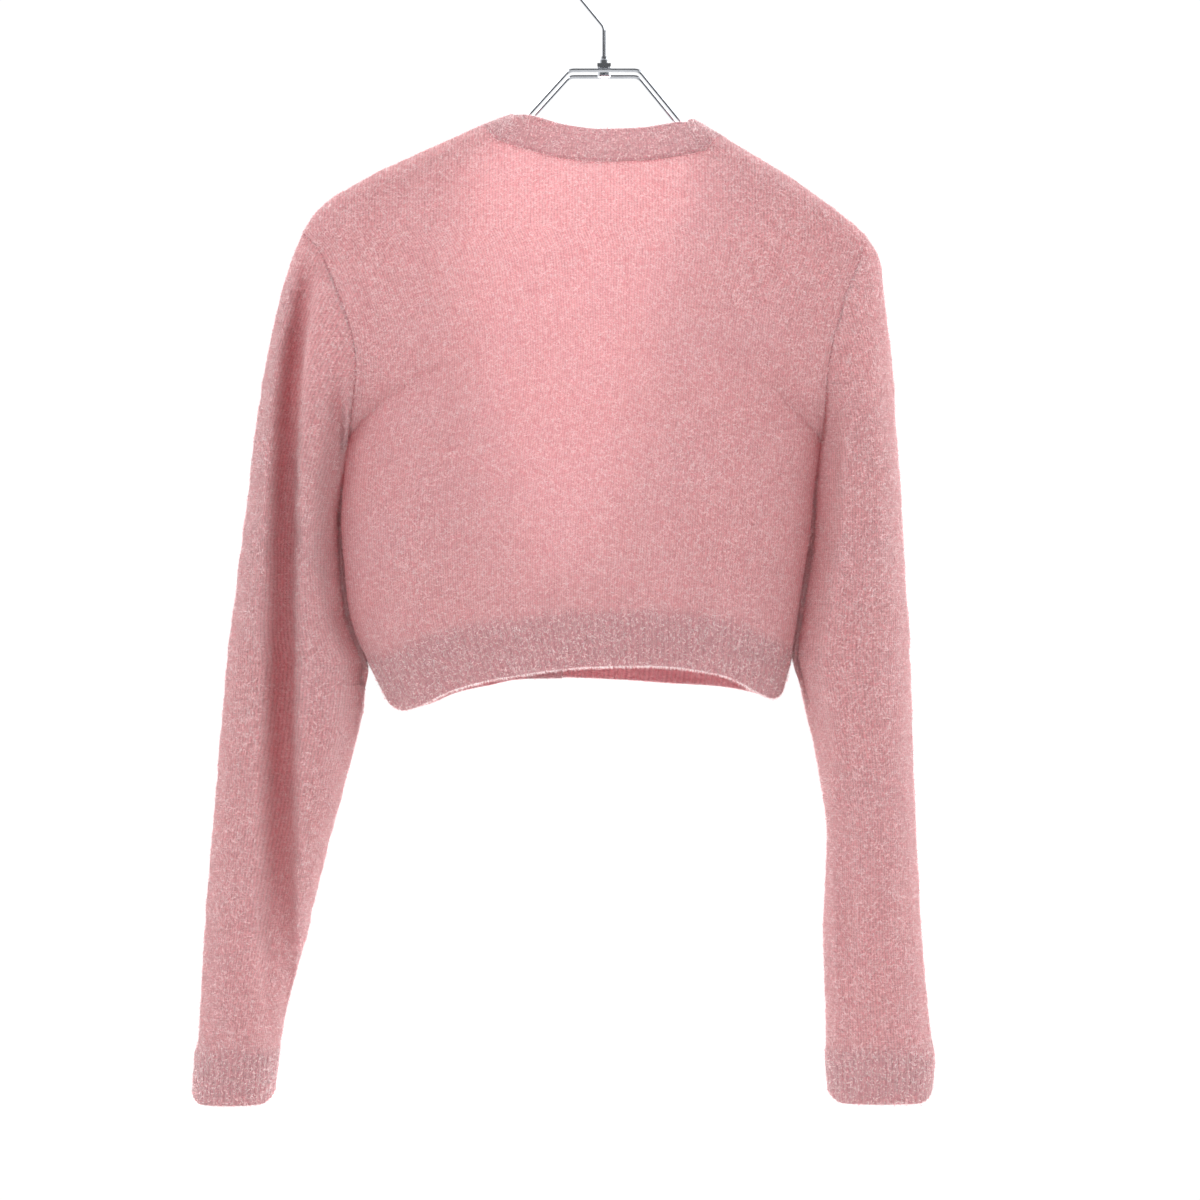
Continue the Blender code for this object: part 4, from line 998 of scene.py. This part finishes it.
def sleeve_heights(seam_z, rib_z, cuff_z):
    """Heights of the rings' points: of those from the seam to the ribs, and of the others."""
    steps = (np.arange(SLEEVE_RINGS + 1) / SLEEVE_RINGS) ** 1.1
    near = np.array(EDGE_STEPS) / (seam_z.mean() - rib_z)
    steps = np.concatenate([[0.0], near, steps[steps > near[-1] * 1.2]])
    low = np.concatenate([np.linspace(rib_z, cuff_z, RIB_ROWS + 1)[1:-1],
                          cuff_z + np.array(EDGE_STEPS[::-1]), [cuff_z]])[:, None]
    lift = corner_lift(np.cos(SPOKES), CUFF_TURN, CUFF_ROUND)
    return (mix(seam_z[None, :], rib_z, steps[:, None]),
            low + lift * ((rib_z - low) / RIB_DEPTH) ** 2)


def build_sleeve(name, side):
    seam, seam_normals = armhole(side, SPOKES, SPOKE_FACES)
    seam_z = seam[:, 2]
    cuff_z = side.tube[-1].z
    rib_z = cuff_z + RIB_DEPTH
    error = seam - sleeve_section(side, seam_z)
    column = np.arange(len(SPOKES)) / len(SPOKES) * SLEEVE_WRAP
    grids = []
    for part, heights in enumerate(sleeve_heights(seam_z, rib_z, cuff_z)):
        share = (seam_z - heights) / (seam_z - rib_z)
        keep = np.maximum(1 - share / CAP_SHARE, 0.0) ** 2
        points = sleeve_section(side, heights) + error * keep[..., None]
        points[..., 2] = heights
        press_folds(points, side)
        if part == 0:
            points[0] = seam
        normals = grid_normals(points, True, np.array((side.sign, 0, 0)))
        if part == 0:
            normals[0] = seam_normals
        relief = sleeve_relief(points, side) * ease((seam_z - heights) / SLEEVE_CALM)
        uv = cloth_uv(column, seam_z.max() - heights)
        grids.append(Grid(points - normals * relief[..., None], normals, uv))
    grids[1] = with_ribs(grids[1], True)
    return make_wall(name, grids, CLOTH, 0.0, True, SLEEVE_WRAP)


def sleeve_relief(points, side):
    """Slight creases across the sleeve, fading round it, and the felt's lumps."""
    relief = LUMP * smooth_noise(points, LUMP_SIZE, 11 + side.sign)
    for i, (z, width, depth) in enumerate(SLEEVE_CREASES):
        slope = 0.35 * math.sin(2.3 * i + side.sign)
        centre = points[..., 0].mean(axis=1, keepdims=True)
        down = points[..., 2] - z - side.sign * slope * (points[..., 0] - centre)
        round_it = 0.5 + 0.5 * np.sin(points[..., 0] * 0.05 + points[..., 1] * 0.04 + 1.7 * i)
        relief = relief + depth * np.exp(-(down / width) ** 2) * round_it
    return relief


# ---------------------------------------------------------------- fibres

def surface_spots(piece, count, rng):
    """Random spots on a piece's outer skin, and the directions out of it there."""
    places = vertex_places(piece.data)
    triangles = triangle_corners(piece.data)
    owners = np.zeros(len(triangles), np.int32)
    piece.data.loop_triangles.foreach_get("polygon_index", owners)
    triangles = triangles[owners < piece["outer_faces"]]
    a, b, c = (places[corner] for corner in triangles.T)
    across = np.cross(b - a, c - a)
    area = np.linalg.norm(across, axis=1)
    chosen = rng.choice(len(triangles), count, p=area / area.sum())
    u, v = rng.random(count), rng.random(count)
    over = u + v > 1
    u[over], v[over] = 1 - u[over], 1 - v[over]
    a, b, c = a[chosen], b[chosen], c[chosen]
    return a + (b - a) * u[:, None] + (c - a) * v[:, None], unit(across[chosen])


def add_leaves(name, low, middle, tip, half, materials, kinds):
    """A mesh of pointed leaves of two triangles, each bent at its middle."""
    points = np.stack([low, middle - half, middle + half, tip], axis=1).reshape(-1, 3)
    faces = np.arange(len(low))[:, None] * 4 + np.array([[0, 1, 2, 1, 3, 2]])
    mesh = bpy.data.meshes.new(name)
    mesh.from_pydata(points.tolist(), [], faces.reshape(-1, 3).tolist())
    for material in materials:
        mesh.materials.append(material)
    mesh.polygons.foreach_set("material_index", np.repeat(kinds, 2))
    leaves = new_object(name, mesh)
    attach(leaves, "root")
    return leaves


def add_nap(piece, name, count, seed, materials):
    """The felt's nap: curled tufts that lie on it, and loose fibres that stand out."""
    rng = np.random.default_rng(seed)
    root, normal = surface_spots(piece, count, rng)
    tangent = unit(np.cross(normal, rng.normal(size=(count, 3))))
    loose = rng.random(count) < LOOSE_SHARE

    def drawn(tuft, fibre):
        """A random length for each, from the range for tufts or the one for fibres."""
        low, high = np.where(loose[:, None], fibre, tuft).T
        return (rng.uniform(low, high) * MM)[:, None]

    reach = drawn(*NAP_REACH)
    curl = rng.uniform(-NAP_CURL, NAP_CURL, count)[:, None] * np.cross(normal, tangent)
    low = root - normal * NAP_ROOT * MM
    middle = root + reach * (0.5 * tangent + curl) + normal * drawn(*NAP_MIDDLE_RISE)
    tip = root + reach * tangent + normal * drawn(*NAP_TIP_RISE)
    half = unit(np.cross(tip - low, normal)) * drawn(*NAP_HALF_WIDTH)
    kinds = np.where(loose, 2, rng.random(count) < DEEP_SHARE).astype(np.int32)
    return add_leaves(name, low, middle, tip, half, materials, kinds)


def along_line(line, places):
    """Values of a line's points, or of what is known at its points, at these distances."""
    run = runs_along(line[0], 0)
    return [along_run(part, run, places) for part in line]


def add_fringe(piece, name, per_mm, seed, material):
    """Pale fibres that stand out of a piece's rim and catch the light from behind; their
    near-white colour is partly painted sheen.
    """
    rng = np.random.default_rng(seed)
    line = RIMS[piece.name]
    length = runs_along(line[0], 0)[-1]
    count = int(length * per_mm)
    spots, down, out = along_line(line, rng.uniform(0.0, length, count))
    low = spots - out * rng.uniform(0.2, CLOTH - 0.2, count)[:, None] - down * FRINGE_ROOT
    lean = unit(down + rng.normal(size=(count, 3)) * FRINGE_LEAN)
    reach = rng.uniform(*FRINGE_REACH, count)[:, None]
    tip = low + lean * reach
    bend = np.cross(lean, rng.normal(size=(count, 3))) * reach * FRINGE_BEND
    half = unit(np.cross(lean, rng.normal(size=(count, 3))))
    half *= rng.uniform(*FRINGE_HALF_WIDTH, count)[:, None]
    parts = [part * MM for part in (low, (low + tip) / 2 + bend, tip, half)]
    return add_leaves(name, *parts, [material], np.zeros(count, np.int32))


def add_stitches(name, lines, material):
    """Small stitches along seam lines; each line is its points and outward directions."""
    low, middle, tip, half = [], [], [], []
    for line in lines:
        length = runs_along(line[0], 0)[-1]
        count = int(length / STITCH_PITCH)
        places = (np.arange(count) + 0.5) * length / count
        spots, out = along_line(line, places)
        along = unit(along_line(line, places + 0.3)[0] - spots)
        out = unit(out)
        low.append(spots - along * STITCH_LENGTH / 2)
        tip.append(spots + along * STITCH_LENGTH / 2)
        middle.append(spots + out * STITCH_RISE)
        half.append(unit(np.cross(along, out)) * STITCH_WIDTH / 2)
    low, middle, tip, half = (np.vstack(part) * MM for part in (low, middle, tip, half))
    return add_leaves(name, low, middle, tip, half, [material], np.zeros(len(low), np.int32))


# ---------------------------------------------------------------- materials

class Graph:
    """Builds the nodes of a material or world; an input that is a socket is linked."""

    def __init__(self, owner):
        owner.use_nodes = True
        self.owner = owner
        self.tree = owner.node_tree
        self.tree.nodes.clear()

    def add(self, kind, inputs=(), **settings):
        node = self.tree.nodes.new("ShaderNode" + kind)
        for key, value in settings.items():
            setattr(node, key, value)
        for key, value in dict(inputs).items():
            if isinstance(value, bpy.types.NodeSocket):
                self.tree.links.new(value, node.inputs[key])
            else:
                node.inputs[key].default_value = value
        return node

    def math(self, operation, a, b=0.0, clamp=False):
        node = self.add("Math", {0: a, 1: b}, operation=operation, use_clamp=clamp)
        return node.outputs[0]

    def total(self, *terms, clamp=False):
        """The sum of values, each with its share."""
        parts = [self.math("MULTIPLY", value, share) for value, share in terms]
        result = parts[0]
        for part in parts[1:]:
            result = self.math("ADD", result, part, clamp and part is parts[-1])
        return result

    def blend(self, factor, a, b, mode="MIX"):
        node = self.add("Mix", {0: factor, 6: a, 7: b}, data_type="RGBA", blend_type=mode)
        return node.outputs[2]

    def noise(self, place, scale, detail=2.0, roughness=0.5, distortion=0.0):
        node = self.add("TexNoise", {"Vector": place, "Scale": scale, "Detail": detail,
                                     "Roughness": roughness, "Distortion": distortion})
        return node.outputs["Fac"]

    def ranged(self, value, low, high, to_low=0.0, to_high=1.0):
        node = self.add("MapRange", {"Value": value, "From Min": low, "From Max": high,
                                     "To Min": to_low, "To Max": to_high})
        return node.outputs["Result"]

    def place(self):
        return self.add("TexCoord").outputs["Object"]

    def bump(self, height, strength, distance):
        node = self.add("Bump", {"Strength": strength, "Distance": distance, "Height": height})
        return node.outputs["Normal"]

    def end(self, shader):
        """Ends a material with a shader, and gives the material."""
        self.add("OutputMaterial", {"Surface": shader.outputs[0]})
        return self.owner

    def end_lit_through(self, shader, share, colour, **inputs):
        """Ends a material that lets this share of its light go on through it."""
        through = self.add("BsdfTranslucent", {"Color": colour, **inputs})
        return self.end(self.add("MixShader", {0: share, 1: shader.outputs[0],
                                               2: through.outputs[0]}))


def new_graph(name):
    return Graph(bpy.data.materials.new(name))


def curl_lines(graph, place, scale, sharp):
    """Thin curly lines, as of fibres: where a noise passes its middle value."""
    field = graph.noise(place, scale, 1.5, 0.55, 0.9)
    away = graph.math("ABSOLUTE", graph.math("SUBTRACT", field, 0.5))
    return graph.math("SUBTRACT", 1.0, graph.math("MULTIPLY", away, sharp), clamp=True)


def knit_waves(graph):
    """Faint columns of stitches, each stitch leaning to one side and then the other."""
    uv = graph.add("UVMap", uv_map="cloth").outputs["UV"]
    across, down = graph.add("SeparateXYZ", {"Vector": uv}).outputs[:2]
    column = graph.math("MULTIPLY", across, TAU / WALE)
    side = graph.math("ABSOLUTE", graph.math("SINE", graph.math("MULTIPLY", column, 0.5)))
    stitch = graph.math("SINE", graph.total((down, TAU / COURSE), (side, STITCH_LEAN)))
    return graph.total((side, 0.7), (stitch, 0.15))


def pebbles(graph, place, scale):
    """Small round lumps, as where felting has drawn the fibres into curls."""
    bend = graph.add("TexNoise", {"Vector": place, "Scale": scale * 0.7, "Detail": 1.0})
    bent = graph.add("VectorMath", {0: bend.outputs["Color"], 1: (0.9 / scale,) * 3, 2: place},
                     operation="MULTIPLY_ADD")
    cells = graph.add("TexVoronoi", {"Vector": bent.outputs[0], "Scale": scale})
    return graph.ranged(cells.outputs["Distance"], 0.1, 0.75, 1.0, 0.0)


def wool(name, ground, fibre, knit, clear):
    """Heather felt: pale curled fibres on a deeper ground, light coming through it.

    clear is the share of the light that goes on through the plain cloth's surface; the
    thicker ribs let less through, and what comes is a deeper red.
    """
    graph = new_graph(name)
    place = graph.place()
    nap = graph.total((curl_lines(graph, place, 260.0, 7.0), 0.45),
                      (pebbles(graph, place, 330.0), 0.55))
    grain = graph.noise(place, 1300.0, 1.0)
    patch = graph.ranged(graph.noise(place, 42.0, 3.0, 0.6), 0.3, 0.7)
    stitches = knit_waves(graph)
    tone = graph.total((nap, 0.75), (grain, 0.25), (stitches, knit), (patch, 0.10), clamp=True)
    colour = graph.blend(tone, (*ground, 1.0), (*fibre, 1.0))
    mauve = graph.ranged(graph.noise(place, 17.0, 2.0), 0.42, 0.66, 0.0, 0.14)
    colour = graph.blend(mauve, colour, MAUVE)
    ribs = graph.add("UVMap", uv_map="ribs").outputs["UV"]
    rib_height, ribbed = graph.add("SeparateXYZ", {"Vector": ribs}).outputs[:2]
    # painted shade: the whole ribbed zone is darkened a little toward the groove colour, and the
    # grooves between the ribs more
    colour = graph.blend(graph.math("MULTIPLY", ribbed, 0.2), colour, PAINTED_GROOVE_SHADE)
    colour = graph.blend(graph.ranged(rib_height, 0.0, PLAIN_CLOTH, 0.45, 0.0), colour, PAINTED_GROOVE_SHADE)
    normal = graph.bump(graph.total((nap, 1.0), (grain, 0.3), (stitches, 2.5 * knit)),
                        1.0, 0.0016)
    cloth = graph.add("BsdfPrincipled",
                      {"Base Color": colour, "Roughness": 0.95, "Sheen Weight": 1.0,
                       "Sheen Roughness": 0.7, "Sheen Tint": SHEEN_TINT,
                       "Specular IOR Level": 0.15, "Normal": normal})
    light = graph.blend(0.5, colour, LIT_WOOL)
    light = graph.blend(1.0, light, graph.ranged(stitches, 0.0, 0.7, 0.74, 1.0), "MULTIPLY")
    light = graph.blend(ribbed, light, RIB_LIGHT, "MULTIPLY")
    share = graph.ranged(ribbed, 0.0, 1.0, clear, RIB_CLEAR)
    return graph.end_lit_through(cloth, share, light, Normal=normal)


def fuzz_wool(name, colour):
    graph = new_graph(name)
    colour = (*colour, 1.0)
    fibre = graph.add("BsdfPrincipled", {"Base Color": colour, "Roughness": 0.9,
                                         "Specular IOR Level": 0.2})
    return graph.end_lit_through(fibre, 0.5, colour)


def chrome(name):
    """Bright plating with fine drawing lines and slight dulling."""
    graph = new_graph(name)
    place = graph.place()
    dull = graph.noise(place, 90.0, 4.0, 0.6)
    streak = graph.noise(place, 900.0, 2.0)
    rough = graph.ranged(graph.total((dull, 0.7), (streak, 0.3)), 0.3, 0.8, 0.12, 0.20)
    colour = graph.blend(dull, (0.34, 0.35, 0.37, 1.0), (0.22, 0.23, 0.25, 1.0))
    return graph.end(graph.add("BsdfPrincipled",
                               {"Base Color": colour, "Metallic": 1.0, "Roughness": rough,
                                "Normal": graph.bump(streak, 0.05, 0.0001)}))


def button_shell(name):
    """A moulded button with faint cloudy bands, as of shell."""
    graph = new_graph(name)
    cloud = graph.noise(graph.place(), 260.0, 4.0, 0.6, 1.5)
    colour = graph.blend(graph.ranged(cloud, 0.3, 0.7), (0.60, 0.30, 0.33, 1.0),
                         (0.80, 0.55, 0.56, 1.0))
    rough = graph.ranged(cloud, 0.2, 0.8, 0.22, 0.38)
    return graph.end(graph.add("BsdfPrincipled",
                               {"Base Color": colour, "Roughness": rough, "Coat Weight": 0.3,
                                "Coat Roughness": 0.15}))


# ---------------------------------------------------------------- stage

def add_lamp(lamp):
    """A round soft lamp that the camera doesn't see."""
    data = bpy.data.lights.new(lamp.name, "AREA")
    data.shape = "DISK"
    data.size = lamp.size
    data.energy = lamp.power
    thing = new_object(lamp.name, data)
    thing.visible_camera = False
    thing.location = lamp.place
    thing.rotation_mode = "QUATERNION"
    aim = Vector(lamp.target) - Vector(lamp.place)
    thing.rotation_quaternion = aim.to_track_quat("-Z", "Y")


def set_world():
    """White all round, brighter from behind the cardigan as from a lit backdrop."""
    world = bpy.data.worlds.new("studio")
    bpy.context.scene.world = world
    graph = Graph(world)
    place = graph.add("TexCoord").outputs["Generated"]
    toward_camera = graph.add("SeparateXYZ", {0: place}).outputs["Y"]
    light = graph.ranged(toward_camera, *WORLD_TURN, WORLD_NEAR, WORLD_FAR)
    seen = graph.add("LightPath").outputs["Is Camera Ray"]
    strength = graph.add("Mix", {0: seen, 2: light, 3: WORLD_SEEN}).outputs[0]
    white = graph.add("Background", {"Color": (1.0, 1.0, 1.0, 1.0), "Strength": strength})
    graph.add("OutputWorld", {"Surface": white.outputs[0]})


def add_floor():
    turns = np.linspace(0.0, TAU, 97)[:-1]
    rim = [(FLOOR_RADIUS * math.cos(t), FLOOR_RADIUS * math.sin(t), FLOOR_Z) for t in turns]
    mesh = bpy.data.meshes.new("floor")
    mesh.from_pydata(rim, [], [tuple(range(len(rim)))])
    graph = new_graph("pale_floor")
    paint = graph.add("BsdfPrincipled", {"Base Color": (0.86, 0.86, 0.85, 1.0), "Roughness": 0.8})
    mesh.materials.append(graph.end(paint))
    new_object("floor", mesh)


def add_camera():
    data = bpy.data.cameras.new("camera")
    data.sensor_width = SENSOR
    data.lens = SENSOR * CAMERA_PLACE[1] / VIEW_WIDTH
    data.clip_end = 50.0
    camera = new_object("camera", data)
    camera.location = CAMERA_PLACE
    camera.rotation_euler = (math.radians(90.0), 0.0, math.radians(180.0))
    bpy.context.scene.camera = camera


# ---------------------------------------------------------------- all together

for thing in list(bpy.data.objects):
    bpy.data.objects.remove(thing, do_unlink=True)
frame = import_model()

WOOLS = {                 # by slot: colours of ground and fibres, share of the knit, clearness
    "pink_wool": wool("felted_wool", (0.74, 0.33, 0.36), (0.95, 0.67, 0.68), 0.12, 0.65),
    # painted shade: the band's deeper ground and fibre colours stand in for the darker look of the
    # doubled band, which lets less light through
    "pink_wool_band": wool("felted_wool_band_painted_shade", (0.51, 0.18, 0.205), (0.71, 0.39, 0.41),
                           0.08, 0.42),
}
# the near-white of the loose and fringe fibres is partly the wool's own pale fibres and partly
# painted sheen, standing in for the glow of backlit fuzz at the rims
pale_fibre_painted_sheen = fuzz_wool("pale_fibre_painted_sheen", (0.97, 0.88, 0.885))
NAP_WOOL = [fuzz_wool("pale_wool_tuft", (0.96, 0.74, 0.75)),
            fuzz_wool("deep_wool_tuft", (0.84, 0.48, 0.51)), pale_fibre_painted_sheen]
yarn = fuzz_wool("seam_yarn", (0.66, 0.28, 0.32))

RIGID = (                 # the CAD nodes that stay, by material
    (chrome("plated_wire"), ("hanger_wire", "hanger_bridge", "hanger_collar", "hanger_nut",
                             "hanger_hook")),
    (button_shell("button_shell"), ("button_1", "button_2")),
)
for material, nodes in RIGID:
    for node in nodes:
        frame["nodes"][node].material_slots[0].material = material

back, neck_stations = build_back()
front_left, left_stations = build_front("cloth_front_left", LEFT, FRONT_SEAM_LEFT, FRONT_CREASES)
front_right, right_stations = build_front("cloth_front_right", RIGHT, FRONT_SEAM_RIGHT,
                                          FRONT_CREASES)
band, band_seams = build_neckband(right_stations, neck_stations, left_stations)
sleeve_left = build_sleeve("cloth_sleeve_left", LEFT)
sleeve_right = build_sleeve("cloth_sleeve_right", RIGHT)

Cloth = namedtuple("Cloth", "piece node slot flat area tufts rests_on")
CLOTHS = (                # flat is the cut's width and length, area what it is of that
    Cloth(back, "back", "pink_wool", (0.410, 0.430), 0.145, 60000, "hanger_wire"),
    Cloth(front_left, "front_left", "pink_wool", (0.155, 0.420), 0.0445, 18000, "hanger_wire"),
    Cloth(front_right, "front_right", "pink_wool", (0.180, 0.420), 0.048, 20000, "hanger_wire"),
    Cloth(band, "neckband", "pink_wool_band", (0.025, 1.150), None, 9000, "hanger_wire"),
    Cloth(sleeve_left, "sleeve_left", "pink_wool", (0.280, 0.640), 0.155, 52000, back),
    Cloth(sleeve_right, "sleeve_right", "pink_wool", (0.280, 0.640), 0.136, 50000, back),
)
half_round = np.linspace(0.02, math.pi - 0.02, 160)
SEAMS = {                 # lines of stitches, by the node whose cloth they are sewn on
    "neckband": band_seams,
    "sleeve_left": [armhole(LEFT, half_round, face) for face in (1, -1)],
    "sleeve_right": [armhole(RIGHT, half_round, face) for face in (1, -1)],
}
for seed, cloth in enumerate(CLOTHS):
    piece, name = cloth.piece, cloth.piece.name
    piece.data.materials.append(WOOLS[cloth.slot])
    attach(piece, "root")
    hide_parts(cloth.node)
    per_mm = BAND_FRINGE_PER_MM if piece is band else FRINGE_PER_MM
    extras = [add_nap(piece, name + "_fuzz", cloth.tufts, 100 + seed, NAP_WOOL),
              add_fringe(piece, name + "_fringe", per_mm, 200 + seed, pale_fibre_painted_sheen)]
    if cloth.node in SEAMS:
        extras.append(add_stitches(name + "_stitches", SEAMS[cloth.node], yarn))

set_world()
for lamp in LAMPS:
    add_lamp(lamp)
add_floor()
add_camera()
bpy.context.scene.view_settings.view_transform = "Standard"
